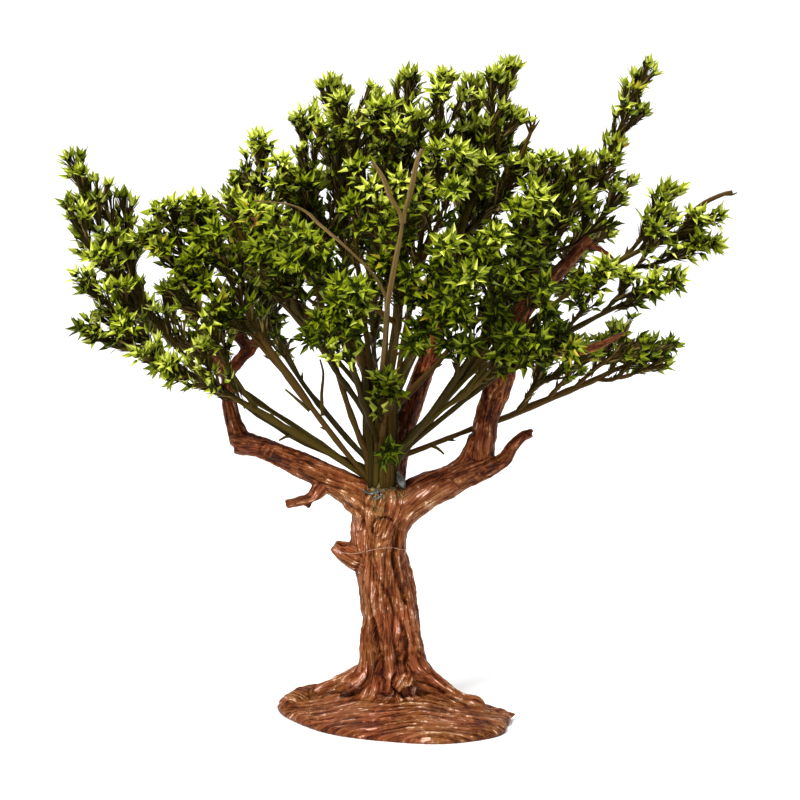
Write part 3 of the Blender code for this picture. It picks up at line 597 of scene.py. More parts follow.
def base_rings():
    c, s = math.cos(BASE_TURN), math.sin(BASE_TURN)
    turn = np.array([[c, -s], [s, c]])
    angles = math.tau * np.arange(BASE_SIDES) / BASE_SIDES
    oval = np.stack([BASE_HALF_LENGTH * np.cos(angles), BASE_HALF_WIDTH * np.sin(angles)], 1)
    rim = BASE_MIDDLE + oval @ turn.T
    rim += unit(rim) * (0.5 * np.sin(3 * angles) + 0.35 * np.sin(7 * angles))[:, None]
    seat = unit(rim) * SEAT_RADIUS
    rows = [(0.972, 0.0), (0.995, 0.35), (1.0, 1.0), (0.99, 1.7)]
    rows += [(s, RIM_HEIGHT + (SEAT_HEIGHT - RIM_HEIGHT) * (1 - s) ** 0.95)
             for s in (0.965, 0.93, 0.86, 0.76, 0.64, 0.52, 0.4, 0.28, 0.15, 0.0)]
    rings = []
    for scale, height in rows:
        flat = seat + (rim - seat) * scale
        rings.append(np.column_stack([flat, np.full(BASE_SIDES, height)]))
    return rings


def trunk_rings():
    rows = smooth_row(TRUNK, 4)
    angles = math.tau * np.arange(TRUNK_SIDES) / TRUNK_SIDES
    lobes = sum(np.exp(-((angles - d + math.pi) % math.tau - math.pi) ** 2 / 0.12)
                for d in ROOT_DIRECTIONS)
    rings = []
    for height, middle, half_width, half_depth in rows:
        swell = 1 + ROOT_FLARE * math.exp(-max(0, height - SEAT_HEIGHT) / ROOT_FADE) * lobes
        rings.append(np.column_stack([middle + half_width * swell * np.cos(angles),
                                      half_depth * swell * np.sin(angles),
                                      np.full(TRUNK_SIDES, height)]))
    return rings


GRAIN_WIDTH = 1.35              # of one ridge of the fine grain
GRAIN_LENGTH = 15.0
RIDGE_WIDTH = 2.6               # of the tall ridges on the trunk and the boughs
THIN_RIDGE_WIDTH = 1.7          # and on limbs whose radius is under the next
THIN_LIMB = 2.2
RIDGE_LENGTH = 19.0
RIDGE_HEIGHT = 0.25             # on the thinnest limb, with more for each mm of its radius
RIDGE_HEIGHT_GAIN = 0.11
RIDGE_HEIGHT_MOST = 0.95
Path = namedtuple("Path", "points radii side other run seed ridge twist")


def bark_paths():
    """The middle line of the trunk and of each limb, for the ridges to follow."""
    paths = []
    for number, (name, stations) in enumerate(LIMBS.items()):
        rows = smooth_row(stations, LIMB_STEPS)
        twist = 0.012 if "riser" in name or "top" in name else 0.02
        paths.append((rows[:, :3], rows[:, 3], 11 + number, twist))
    rows = smooth_row(TRUNK, 6)
    middle = np.column_stack([rows[:, 1], np.zeros(len(rows)), rows[:, 0]])
    paths.append((middle, rows[:, 2:].mean(1), 3, -0.016))
    made = []
    for points, radii, seed, twist in paths:
        _, side, other = carried_frames(points)
        steps = np.linalg.norm(np.diff(points, axis=0), axis=1)
        run = np.concatenate([[0], np.cumsum(steps)])
        ridge = THIN_RIDGE_WIDTH if radii.mean() < THIN_LIMB else RIDGE_WIDTH
        made.append(Path(points, radii, side, other, run, seed, ridge, twist))
    return made


def ridges_on(path, spots):
    """For one limb: each spot's place along its bark, how far its ridge stands, its nearness."""
    gaps = np.linalg.norm(spots[:, None] - path.points[None], axis=2) / path.radii[None]
    nearest = gaps.argmin(1)
    close = gaps[np.arange(len(spots)), nearest]
    away = spots - path.points[nearest]
    a = (away * path.side[nearest]).sum(1)
    b = (away * path.other[nearest]).sum(1)
    tangent = np.cross(path.side[nearest], path.other[nearest])
    run = path.run[nearest] + (away * tangent).sum(1)
    angle = np.arctan2(b, a) + path.twist * run
    size = path.radii.mean()
    ring = np.stack([np.cos(angle), np.sin(angle)], 1) * size
    drift = noise(np.column_stack([ring / 6, run / 9]), path.seed + 40)[:, None] * 0.8
    place = np.column_stack([(ring + drift) / GRAIN_WIDTH, run / GRAIN_LENGTH + 3 * path.seed])
    broad = np.column_stack([(ring + drift) / path.ridge, run / RIDGE_LENGTH])
    tall = np.minimum(np.abs(noise(broad, path.seed)) * 2.1, 1)
    return place, tall ** 0.6, close


def bark_relief(spots, paths):
    """The ridges of all limbs, run into each other where limbs meet."""
    closest = np.full(len(spots), 1e9)
    place = np.zeros((len(spots), 3))
    found = []
    for path in paths:
        margin = path.radii.max() * 2.5 + 2
        low, high = path.points.min(0) - margin, path.points.max(0) + margin
        inside = np.flatnonzero(((spots > low) & (spots < high)).all(1))
        if not len(inside):
            continue
        where, value, close = ridges_on(path, spots[inside])
        found.append((inside, value, close, path.radii.mean()))
        nearer = close < closest[inside]
        place[inside[nearer]] = where[nearer]
        np.minimum.at(closest, inside, close)
    total = np.zeros(len(spots))
    weight = np.zeros(len(spots))
    height = np.zeros(len(spots))
    for inside, value, close, size in found:
        share = np.exp(-(close - closest[inside]) / 0.10)
        np.add.at(total, inside, value * share)
        np.add.at(weight, inside, share)
        tall = min(RIDGE_HEIGHT_MOST, RIDGE_HEIGHT + RIDGE_HEIGHT_GAIN * size)
        np.add.at(height, inside, share * tall)
    weight = np.maximum(weight, 1e-6)
    return total / weight, height / weight, closest, place


BOUGH_PAINTED_SHADE = 0.50              # painted shade: the boughs under the crown are darker than the trunk
BOUGH_HEIGHTS = (66, 78)        # between which it comes in
STUB_PAINTED_SHADE = 0.4                # and painted shade makes the little broken twig under the left one dark
BASE_GRAIN = 1.45               # between the grain lines across the mound


def base_relief(spots):
    """Fine wavy grain that runs across the whole mound and dips at its rounded rim."""
    flat = spots[:, :2] - BASE_MIDDLE
    c, s = math.cos(BASE_TURN), math.sin(BASE_TURN)
    long, wide = flat @ [c, s] / BASE_HALF_LENGTH, flat @ [-s, c] / BASE_HALF_WIDTH
    share = np.hypot(long, wide)
    waver = noise(np.column_stack([spots[:, 0] / 15, spots[:, 1] / 8, spots[:, 2] * 0]), 91)
    bend = 5.0 * smooth_step(-14, -34, spots[:, 0]) * (spots[:, 0] + 14) / 20
    across = spots[:, 1] + 0.6 * spots[:, 2] + 2.2 * waver + bend
    place = np.column_stack([across / BASE_GRAIN, np.zeros(len(spots)), spots[:, 0] / 17])
    lines = np.column_stack([spots[:, 0] / 24, across / (1.5 * BASE_GRAIN), np.zeros(len(spots))])
    broad = np.minimum(np.abs(noise(lines, 92)) * 2.7, 1) ** 0.8
    rim = smooth_step(0.93, 1.0, share)
    bumps = noise(spots / [4.0, 4.0, 1.6], 95)
    height = (broad - 0.5) * 0.8 * (1 - 0.6 * rim) + 0.35 * bumps * rim
    # the second value is the colour level, with painted shade in the grain's grooves
    return height, 0.95 * broad * (1 - 0.35 * rim) + 0.2 * rim - 0.13, place


GROOVES = [                     # depth, negative for a ridge, and rows of x, z, width
    (1.5, [(0.9, 60.5, 0.4), (0.3, 54.5, 0.6), (-0.9, 51.7, 0.7), (-0.7, 48.5, 0.6), (1.3, 41.8, 0.6),
        (3.2, 36.3, 0.4)]),
    (-0.7, [(2.2, 57.4, 0.4), (1.1, 53, 0.5), (0.4, 50.6, 0.5), (0.9, 47.2, 0.5), (2.6, 42.4, 0.4)]),
    (1.3, [(-6.2, 45.6, 0.3), (-3.7, 40.9, 0.6), (-1.6, 37.7, 0.7), (0.6, 31.8, 0.4)]),
    (0.9, [(-10.9, 64.8, 0.5), (-9, 58.9, 0.6), (-8, 55.2, 0.3)]),
    (1, [(-9, 66.4, 0.4), (-7.2, 65.4, 0.6), (-5.6, 64.6, 0.4)]),
    (-0.7, [(-15.5, 68.1, 0.5), (-11.4, 65.9, 0.6), (-7.7, 63.9, 0.6), (-3.7, 63.2, 0.5),
        (-1.6, 64.4, 0.4)]),
    (2.1, [(-6.8, 32, 0.3), (-6.2, 28, 0.7), (-5.2, 22, 1), (-4.8, 16.8, 1.2), (-5, 11, 1.1)]),
    (-1, [(-5.4, 25, 0.2), (-5, 20, 0.35), (-4.8, 15, 0.3)]),
    (1.3, [(-1.8, 37.6, 0.4), (-0.3, 33.4, 0.6), (-0.7, 28.8, 0.5), (-0.3, 24.1, 0.5), (0.8, 20, 0.5),
        (1.2, 17, 0.5)]),
    (1, [(0.7, 33.5, 0.3), (2.2, 28.6, 0.5), (3.2, 24.8, 0.5), (2.9, 18.6, 0.4)]),
    (0.9, [(0.9, 21.9, 0.4), (1.3, 18.6, 0.7)]),
    (0.9, [(-12.8, 44, 0.4), (-10.4, 50, 0.5), (-9.6, 53.5, 0.3)]),
    (0.8, [(-9.4, 43, 0.3), (-8.4, 36, 0.5), (-6.8, 31, 0.3)]),
    (0.7, [(-8.2, 51, 0.3), (-6.9, 45, 0.4), (-5.4, 39.5, 0.4), (-4.4, 35, 0.3)]),
    (0.7, [(-3.8, 52.5, 0.3), (-2.9, 46, 0.4), (-0.6, 39, 0.4), (1.4, 34, 0.3)]),
    (0.6, [(4.6, 44, 0.3), (5.6, 36, 0.45), (6.2, 28, 0.3)]),
    (0.8, [(5, 22, 0.3), (9.4, 16.4, 0.5), (15, 12, 0.4)]),
    (0.7, [(7.2, 22, 0.3), (11.4, 17, 0.5), (17, 12, 0.3)]),
    (1.1, [(7, 12.6, 0.5), (10.6, 10.8, 1), (14.4, 9.6, 0.6)]),
]

Knot = namedtuple("Knot", "place facing radius depth shade")
KNOTS = [
    Knot((-3.8, -7.9, 59.4), (-0.05, -1, 0.02), 3.5, 0.9, 0.30),
    Knot((2.7, -12.0, 13.4), (0.05, -1, 0.12), 3.6, 1.0, 0.42),
    Knot((28.9, -2.7, 99.6), (-0.05, -1, 0.0), 2.2, 0.6, 0.0),
    Knot((-38.6, -2.9, 82.4), (0, -1, 0.1), 2.3, 0.5, -0.1),
]
SCRATCH_SPACING = 1.5
STUB_CUP = np.array([-15.6, -2.2, 54.4])        # the hollow top of the trunk's stub
STUB_CUP_SIZE = np.array([3.1, 2.3, 2.6])
STUB_CUP_DEPTH = 2.6


def line_gap(spots, points):
    """Distance of flat spots from a row of straight lengths, as a share of its width."""
    best = np.full(len(spots), 1e9)
    for (ax, az, aw), (bx, bz, bw) in zip(points, points[1:]):
        a, b = np.array([ax, az]), np.array([bx, bz])
        t = np.clip((spots - a) @ (b - a) / ((b - a) @ (b - a)), 0, 1)
        gap = np.linalg.norm(spots - a - t[:, None] * (b - a), axis=1)
        best = np.minimum(best, gap / (aw + (bw - aw) * t))
    return best


def press_grooves(spots, facing):
    """The named folds and splits on the front of the trunk."""
    out = np.zeros(len(spots))
    near = np.flatnonzero((facing[:, 1] < 0.1) & (spots[:, 2] < 72) & (spots[:, 1] < -1)
                          & (np.abs(spots[:, 0]) < 20) & (spots[:, 2] > 9))
    flat = spots[near][:, [0, 2]]
    flat = flat + 0.35 * np.column_stack([noise(spots[near] / 3.1, seed) for seed in (61, 62)])
    front = np.clip(-facing[near, 1] * 1.5, 0, 1)
    for depth, points in GROOVES:
        out[near] -= depth * np.exp(-line_gap(flat, points) ** 2) * front
    return out


def press_knots(spots, facing, out, level):
    """Sets a flat scratched disc with a raised lip and a rim groove at each knot, with painted shade in
    the rim, darkest on its upper left, and painted highlights on the scratches.
    """
    shift = np.zeros_like(spots)
    for knot in KNOTS:
        front = unit(np.array(knot.facing, float))
        away = spots - np.array(knot.place)
        deep = away @ front
        flat = away - deep[:, None] * front
        share = np.linalg.norm(flat, axis=1) / knot.radius
        near = (share < 2) & (np.abs(deep) < 1.2 * knot.radius) & (facing @ front > 0.1)
        right, up = flat @ np.cross([0, 0, 1], front), flat[:, 2]
        inside = (1 - smooth_step(0.84, 1.0, share)) * near
        wave = (right * 0.85 - up * 0.52) / SCRATCH_SPACING + 0.20 * right * up / knot.radius
        thin = (1 - np.abs(np.sin(wave * math.pi))) ** 1.5
        scratch = knot.depth * (0.85 * thin - 0.40)
        upper = 0.60 + 0.40 * np.clip((up - right) / knot.radius, -1, 1)
        rim = np.exp(-((share - 0.97) / max(0.11, 0.42 / knot.radius)) ** 2) * upper * near
        lip = np.exp(-((share - 1.26) / 0.17) ** 2) * near
        out = out * (1 - inside) + knot.depth * (0.40 * lip - 0.9 * rim)
        shift += ((scratch - deep) * inside)[:, None] * front
        # painted highlights on the scratch crests, painted shade between them and in the rim
        level = level * (1 - inside) + inside * (knot.shade + 0.95 * thin) - 0.9 * rim
    return out, level, shift


def carve_bark(bark):
    """Moves the skin out and in along its normals and keeps the relief for its colour, as painted shade
    in its grooves and painted highlights on its ridges.
    """
    spots, facing = places_and_normals(bark)
    ridges, height, close, place = bark_relief(spots, bark_paths())
    mound = smooth_step(1.25, 1.6, close) * (1 - smooth_step(11, 14, spots[:, 2]))
    swell, shade, flat_place = base_relief(spots)
    # painted shade and highlight: the colour level follows the relief, low in grooves and high on ridge
    # tops
    level = ridges * (1 - mound) + shade * mound
    out = (ridges - 0.5) * height * (1 - mound) + swell * mound
    place[mound > 0.5] = flat_place[mound > 0.5]
    pressed = press_grooves(spots, facing)
    out += pressed
    # painted shade in the pressed grooves and painted highlight on the pressed ridges
    level += 0.5 * pressed
    # painted shade on the boughs under the crown and on the stub under the left bough
    level -= BOUGH_PAINTED_SHADE * smooth_step(*BOUGH_HEIGHTS, spots[:, 2])
    stub = smooth_step(-21, -25, spots[:, 0]) * (1 - smooth_step(71, 73.5, spots[:, 2]))
    level -= STUB_PAINTED_SHADE * stub * (spots[:, 2] > 50)
    out, level, shift = press_knots(spots, facing, out, level)
    cup = np.linalg.norm((spots - STUB_CUP) / STUB_CUP_SIZE, axis=1)
    hollow = (1 - smooth_step(0.35, 1.0, cup)) * np.clip(facing[:, 2] * 1.6, 0, 1)
    # painted shade in the hollow top of the stub
    level -= 0.9 * hollow
    out += 0.14 * noise(spots / 0.9, 5) + 0.22 * noise(spots / 2.3, 6)
    out *= smooth_step(0.3, 2.0, spots[:, 2])
    moved = spots + facing * out[:, None] + shift
    moved[:, 2] -= STUB_CUP_DEPTH * hollow
    moved[:, 1] -= 0.3 * hollow
    flat = (facing[:, 2] < -0.7) & (spots[:, 2] < 0.6)
    moved[flat, 2] = 0
    moved[:, 2] = np.maximum(moved[:, 2], 0)
    relief = bark.data.attributes.new("relief", "FLOAT", "POINT")
    relief.data.foreach_set("value", np.clip(level, 0, 1).astype(np.float32))
    grain = bark.data.attributes.new("grain_place", "FLOAT_VECTOR", "POINT")
    grain.data.foreach_set("vector", place.astype(np.float32).ravel())
    move_points(bark, moved)


def flatten_underside(bark):
    """Makes one face of the flat underside, whose small squares nobody sees."""
    shape = bmesh.new()
    shape.from_mesh(bark.data)
    low = [face for face in shape.faces if max(v.co.z for v in face.verts) < 0.01 * MM]
    bmesh.ops.dissolve_faces(shape, faces=low, use_verts=True)
    shape.to_mesh(bark.data)
    shape.free()


BARK_VOXEL = 0.50               # the skin's mesh, in mm
BARK_SMOOTHING = 8


def make_bark(material):
    skin = Skin()
    skin.add_rings(base_rings())
    skin.add_rings(trunk_rings())
    for stations in [*LIMBS.values(), *LUMPS.values()]:
        rows = smooth_row(stations, LIMB_STEPS)
        skin.add_tube(rows[:, :3], rows[:, 3], LIMB_SIDES)
    bark = skin.mesh_object("bark")
    remeshed(bark, BARK_VOXEL, BARK_SMOOTHING)
    carve_bark(bark)
    flatten_underside(bark)
    give_material(bark, material)
    return bark


# ---------------------------------------------------------------- stems

Axis = namedtuple("Axis", "points radius tip_radius leafy")


def bowed_path(start, reach, bow, lengths):
    """Points of a stem that stops short of its shoots' reach and bows out and down."""
    tip = reach - unit(reach - start) * TIP_SHOOT
    chord = tip - start
    level = np.array([chord[0], chord[1], 0])
    away = unit(level) * chord[2]
    away[2] = -np.linalg.norm(level)
    control = (start + tip) / 2 + unit(away) * 2 * bow
    t = (np.arange(lengths + 1) / lengths)[:, None]
    return start * (1 - t) ** 2 + control * 2 * t * (1 - t) + tip * t * t


def point_along(points, place):
    """The point at a share of a path, and the path's direction there."""
    where = min(place, 0.9999) * (len(points) - 1)
    i = int(where)
    return (points[i] + (points[i + 1] - points[i]) * (where - i),
            unit(points[i + 1] - points[i]))


def bundle_radius(height):
    rise = np.clip((height - GLUE_TOP) / (BUNDLE_TOP - GLUE_TOP), 0, 1)
    return BUNDLE_FOOT_RADIUS + (BUNDLE_TOP_RADIUS - BUNDLE_FOOT_RADIUS) * rise


def stem_foot(spray):
    """Where a stem leaves the bundle, as in the source."""
    reach = np.array(spray.reach, float)
    level = np.array([reach[0] - BUNDLE_MIDDLE[0], reach[1], 0])
    span = np.linalg.norm(level)
    slope = math.atan2(reach[2] - spray.foot, span)
    if spray.foot < BUNDLE_TOP:
        out = bundle_radius(spray.foot) + GAP + STEM_RADIUS * math.sin(slope)
        height = spray.foot
    else:
        out = min(BUNDLE_TOP_RADIUS - 1, TOP_SPREAD * span)
        height = BUNDLE_TOP + GAP + STEM_RADIUS * math.cos(slope)
    foot = BUNDLE_MIDDLE + unit(level) * out
    foot[2] = height
    return foot


def gnarled(points, amount, dice):
    """A path with the small kinks of a moulded stem, kept at its ends."""
    count = len(points)
    place = np.linspace(0, 1, count)
    sway = sum(np.sin(math.tau * (place * turns + dice.random()))[:, None]
               * unit(dice.normal(size=3)) / turns for turns in (1.5, 3.2, 5.7))
    return points + sway * amount * (np.sin(place * math.pi) ** 0.5)[:, None]


def spray_axes(spray, dice):
    """The drawn stem and forks of a spray, each smooth and a little gnarled."""
    stem = gnarled(bowed_path(stem_foot(spray), np.array(spray.reach, float), spray.bow,
                              STEM_STEPS), 0.55, dice)
    axes = [Axis(stem, STEM_RADIUS, STEM_TIP_RADIUS, spray.leafy)]
    for place, reach, bow in spray.forks:
        foot, _ = point_along(stem, place)
        path = gnarled(bowed_path(foot, np.array(reach, float), bow, FORK_STEPS), 0.4, dice)
        axes.append(Axis(path, FORK_RADIUS, STEM_TIP_RADIUS, FORK_LEAFY))
    return axes


def square_pair(along):
    """Two unit vectors square to an axis and to each other."""
    start = np.array([1.0, 0, 0]) if abs(along[0]) < 0.7 else np.array([0, 1.0, 0])
    side = unit(np.cross(along, start))
    return side, np.cross(along, side)


def growth(axis, spacing, leans, dice, ranked=False):
    """Places and directions of side growth on an axis, by the source's rule, tip to foot.

    Ranked growth is the finest: it leaves in two ranks, as the barbs of a feather do.
    """
    points, leafy = axis.points, axis.leafy
    face = unit(np.array([dice.normal(0, 0.4), -1.0, dice.normal(0, 0.4)]))
    run = np.linalg.norm(np.diff(points, axis=0), axis=1).sum()
    count = max(1, round(run * (1 - leafy) / spacing))
    angle = dice.uniform(0, math.tau)
    for i in range(count):
        place = 1 - (1 - leafy) * (i + 0.75) / count
        foot, along = point_along(points, place)
        side, other = square_pair(along)
        lean = leans[1] + (leans[0] - leans[1]) * (1 - place) / (1 - leafy)
        lean *= dice.uniform(0.75, 1.2)
        angle += SHOOT_TURN
        if ranked:
            side = unit(np.cross(along, face))
            other = np.cross(along, side)
            angle = (i % 2) * math.pi + dice.normal(0, RANK_SCATTER)
        out = side * math.cos(angle) + other * math.sin(angle)
        direction = along * math.cos(lean) + out * math.sin(lean)
        direction[2] += SHOOT_RISE
        yield foot, unit(direction)


# ---------------------------------------------------------------- leaves

LEAF_COLOURS = {                # colour, roughness, specular level
    "neck_brown": ((0.036, 0.022, 0.006), 0.58, 0.03),
    "neck_olive": ((0.022, 0.019, 0.001), 0.56, 0.04),
    "neck_straw": ((0.130, 0.092, 0.022), 0.50, 0.10),
    "leaf_deep": ((0.013, 0.020, 0.0003), 0.50, 0.04),
    "leaf_green": ((0.086, 0.116, 0.0011), 0.42, 0.08),
    "leaf_fresh": ((0.214, 0.256, 0.0066), 0.42, 0.14),
    "leaf_lime": ((0.500, 0.550, 0.075), 0.44, 0.30),
    "leaf_gold": ((0.430, 0.330, 0.020), 0.46, 0.3),
    "leaf_rust": ((0.280, 0.100, 0.025), 0.48, 0.3),
}
KINDS = list(LEAF_COLOURS)
TONES = [                       # the foot of a leaf, then its tip
    ("leaf_deep", "leaf_green"),
    ("leaf_deep", "leaf_fresh"),
    ("leaf_deep", "leaf_fresh"),
    ("leaf_deep", "leaf_lime"),
    ("leaf_green", "leaf_lime"),
    ("leaf_green", "leaf_gold"),
    ("leaf_rust", "leaf_gold"),
]
TONE_KINDS = np.array([[KINDS.index(k) for k in tone] for tone in TONES])
NECK_SHARES = [0.36, 0.42, 0.22]                # of brown, olive and straw strips
# a blade's rows: share of its length, distance from the shoot's middle, half width (mm)
BLADE_ROWS = np.array([(0.0, 0.20, 0.17), (0.45, 0.42, 0.24), (0.84, 0.58, 0.32),
                       (0.92, 1.80, 0.92), (1.0, 5.0, 0.0)])
BLADE_FOLD = np.array([0.10, 0.14, -0.06, -0.42, 0.0])
SHUT_RISE = np.array([0.5, 2.4])        # of the last two rows of a shut star
# painted shade: the tone one step darker that a blade's shaded half takes
DARKER = {"leaf_deep": "leaf_deep", "leaf_green": "leaf_deep", "leaf_fresh": "leaf_green",
          "leaf_lime": "leaf_fresh", "leaf_gold": "leaf_fresh", "leaf_rust": "leaf_rust"}
SHADED_KINDS = np.array([[KINDS.index(DARKER[k]) for k in tone] for tone in TONES])


def blade_pattern():
    """The triangles of one blade, three points to a row, and the half length each lies in."""
    pattern, segment = [], []
    for row in range(3):
        for column in range(2):
            a = row * 3 + column
            pattern += [(a, a + 1, a + 4), (a, a + 4, a + 3)]
            segment += [2 * row + column] * 2
    pattern += [(9, 10, 13), (10, 11, 13)]
    return np.array(pattern), np.array(segment + [6, 7])


def directions_round(along, turn):
    """Directions out of each shoot at some turns round it, and the ones across them."""
    start = np.where(np.abs(along[:, :1]) < 0.7, [[1.0, 0, 0]], [[0, 1.0, 0]])
    side = unit(np.cross(along, start))
    other = np.cross(along, side)[:, None]
    side = side[:, None]
    c, s = np.cos(turn)[..., None], np.sin(turn)[..., None]
    return side * c + other * s, -side * s + other * c


def leaf_blades(shoots, dice):
    """Points, triangles and kinds of all blades: strips side by side that open in a star."""
    foot, along, length, tone = shoots
    count = len(foot)
    each = (count, LEAVES)
    turn = (dice.uniform(0, math.tau, (count, 1)) + math.tau * np.arange(LEAVES) / LEAVES
            + dice.normal(0, 0.22, each))
    out, across = directions_round(along, turn)
    shares, radial, half = BLADE_ROWS.T
    low = np.maximum(dice.uniform(-0.2, 0.22, each), 0)[..., None]
    high = dice.uniform(0.86, 1.08, each)[..., None]
    height = (low + (high - low) * shares) * length[:, None, None]
    flare = dice.uniform(0.70, 1.12, each)[..., None]
    shut = dice.uniform(0, 1, (count, 1))           # an open star is flat, a shut one a cup
    shut = np.clip(1.15 - 1.1 * np.abs(along[:, 1:2]) + 0.5 * (shut - 0.5), 0, 1)
    height[..., 3:] += shut[..., None] * SHUT_RISE
    flare = flare * (1 - 0.42 * shut[..., None])
    radial = radial * np.where(np.arange(5) > 2, flare, 1)
    half = half * dice.uniform(0.8, 1.2, each)[..., None]
    sway = dice.normal(0, 0.35, each)[..., None] * (shares ** 3 * 2.2)
    middle = (foot[:, None, None] + along[:, None, None] * height[..., None]
              + out[:, :, None] * radial[..., None] + across[:, :, None] * sway[..., None])
    edge = across[:, :, None] * half[..., None]
    rib = middle + (out[:, :, None] * np.maximum(BLADE_FOLD, 0)[:, None]
                    + along[:, None, None] * np.minimum(BLADE_FOLD, 0)[:, None])
    points = np.stack([middle - edge, rib, middle + edge], 3)      # shoot, leaf, row, column
    points[..., 4, :, :] = middle[..., 4, None, :]
    pattern, segment = blade_pattern()
    necks = dice.choice(3, each, p=NECK_SHARES)
    # painted light and shade: one half of each blade takes the lit tone, the other the shaded one
    lit = np.broadcast_to(TONE_KINDS[tone][:, None], (*each, 2))
    shaded = np.broadcast_to(SHADED_KINDS[tone][:, None], (*each, 2))
    flip = dice.random(each) < 0.5
    left, right = np.where(flip[..., None], [lit, shaded], [shaded, lit])
    rows = np.stack([necks] * 4 + [left[..., 0], right[..., 0], left[..., 1], right[..., 1]], 2)
    blades = count * LEAVES
    faces = pattern[None] + (np.arange(blades) * 15)[:, None, None]
    return points.reshape(blades, 15, 3), faces, rows[..., segment].ravel()


def bracts(shoots, dice):
    """Short narrow blades that stand off a shoot's neck."""
    foot, along, length, _ = shoots
    each = (len(foot), STRIPS)
    out, across = directions_round(along, dice.uniform(0, math.tau, each))
    low = dice.uniform(-0.25, 0.35, (*each, 1)) * length[:, None, None]
    high = low + dice.uniform(0.40, 0.62, (*each, 1)) * length[:, None, None]
    foot, along = foot[:, None], along[:, None]
    a = foot + along * low + out * 0.5
    b = foot + along * (low + high) / 2 + out * 1.0
    c = foot + along * high + out * dice.uniform(1.2, 2.6, (*each, 1))
    points = np.stack([a - across * 0.16, a + across * 0.16, b - across * 0.3, b + across * 0.3,
                       c], 2).reshape(-1, 5, 3)
    pattern = np.array([(0, 1, 3), (0, 3, 2), (2, 3, 4)])
    faces = pattern[None] + (np.arange(len(points)) * 5)[:, None, None]
    return points, faces, np.repeat(dice.choice(3, each[0] * STRIPS, p=NECK_SHARES), 3)


# ---------------------------------------------------------------- growing the crown

def limb_samples():
    rows = np.vstack([smooth_row(s, 6) for s in LIMBS.values()])
    return rows[:, :3], rows[:, 3]


def clear_of_limbs(spots, samples, room):
    middles, radii = samples
    gaps = np.linalg.norm(spots[:, None] - middles[None], axis=2) - radii[None]
    return gaps.min(1) > room


FACE_OUT = 1.1                  # how far shoots in front and at the back turn to the light
FACE_FROM = 6.0
FACE_DEPTH = 22.0
OUTWARD_PAINTED_LIGHT = 5.4           # steps of painted light from the crown's shaded middle to its lit edge
UPWARD_PAINTED_LIGHT = 1.4            # and of painted light from a level shoot to an upright one
MIDDLE_TONE = -3.1
TONE_SCATTER = 1.1
TOP_PAINTED_LIGHT = 1.3               # steps of painted light that make the top of the crown's middle paler
LOW_PAINTED_SHADE = 0.8                # and of painted shade that make its foot darker
TUFT_TOP = 112.0                # the tuft in front of the bundle is painted bright, as lit, below this
TUFT_PAINTED_LIGHT = 2.5
GOLD_SHARE = 0.028              # of all shoots, with the rust-coloured ones
RUST_SHARE = 0.007
CROWN_MIDDLE = np.array([0.0, 0.0, 118.0])
CROWN_SIZE = np.array([100.0, 60.0, 82.0])


def tone_of(foot, along, dice):
    """Painted light: shoots far out, turned up or high in the middle are palest as if lit, those deep
    inside or low darker as if shaded, and a few anywhere are gold or rust.
    """
    outward = np.linalg.norm((foot - CROWN_MIDDLE) / CROWN_SIZE, axis=1)
    painted_light_and_tone = OUTWARD_PAINTED_LIGHT * outward + UPWARD_PAINTED_LIGHT * along[:, 2] + MIDDLE_TONE
    painted_light_and_tone += dice.normal(0, TONE_SCATTER, len(foot))
    painted_light_and_tone += TUFT_PAINTED_LIGHT * ((foot[:, 2] < TUFT_TOP) & (foot[:, 1] < -8))
    middle = np.abs(foot[:, 0]) < 45
    painted_light_and_tone += TOP_PAINTED_LIGHT * smooth_step(140, 180, foot[:, 2]) * middle
    painted_light_and_tone -= LOW_PAINTED_SHADE * (1 - smooth_step(122, 150, foot[:, 2])) * middle
    tone = np.clip(np.round(painted_light_and_tone), 0, 4).astype(int)
    odd = dice.random(len(foot))
    tone[odd < GOLD_SHARE] = 5
    tone[odd < RUST_SHARE] = 6
    return tone


def facing_out(feet, ways):
    """Turns shoots in front and at the back a little toward the light in front or behind."""
    turned = ways.copy()
    deep = np.clip((np.abs(feet[:, 1]) - FACE_FROM) / FACE_DEPTH, 0, 1)
    turned[:, 1] += FACE_OUT * deep * np.sign(feet[:, 1])
    return unit(turned)


def side_twig(foot, way, room, slim, dice):
    """A short axis that leaves a stem and turns up a little, shorter near the stem's tip."""
    run = slim * min(TWIG_LENGTH * dice.uniform(0.6, 1.2), max(2.5, 0.8 * room))
    middle = foot + way * run * 0.5 - [0, 0, 0.05 * run]
    end = foot + way * run + [0, 0, 0.10 * run]
    return Axis(smooth_row([foot, middle, end], 2), TWIG_RADIUS, 0.22, TWIG_LEAFY)


def shoots_on(axis, size, dice):
    """Foot, direction and length of each shoot along an axis and at its tip."""
    for foot, way in growth(axis, SHOOT_SPACING, SHOOT_LEAN, dice, ranked=True):
        yield foot, way, size * dice.uniform(0.85, 1.1)
    tip, along = point_along(axis.points, 1)
    side, other = square_pair(along)
    for i in range(TIP_SHOOTS):
        turn = math.tau * i / TIP_SHOOTS + dice.uniform(0, 1)
        spread = 0.32 if i else 0.05
        way = along + spread * (side * math.cos(turn) + other * math.sin(turn))
        yield tip - along * 1.2, unit(way), size * dice.uniform(0.85, 1.05)


# Stretches of bough that show from the front: x, z and reach.
BARE_BOUGHS = [(55.5, 144.5, 4.6), (37.0, 123.5, 5.0), (-28.5, 122.5, 4.6), (-31.0, 126.0, 3.4)]


def hides_bare_bough(tips):
    """Whether a star stands in front of a stretch of bough that shows."""
    hides = np.zeros(len(tips), bool)
    for x, z, reach in BARE_BOUGHS:
        hides |= (np.linalg.norm(tips[:, [0, 2]] - [x, z], axis=1) < reach) & (tips[:, 1] < 24)
    return hides


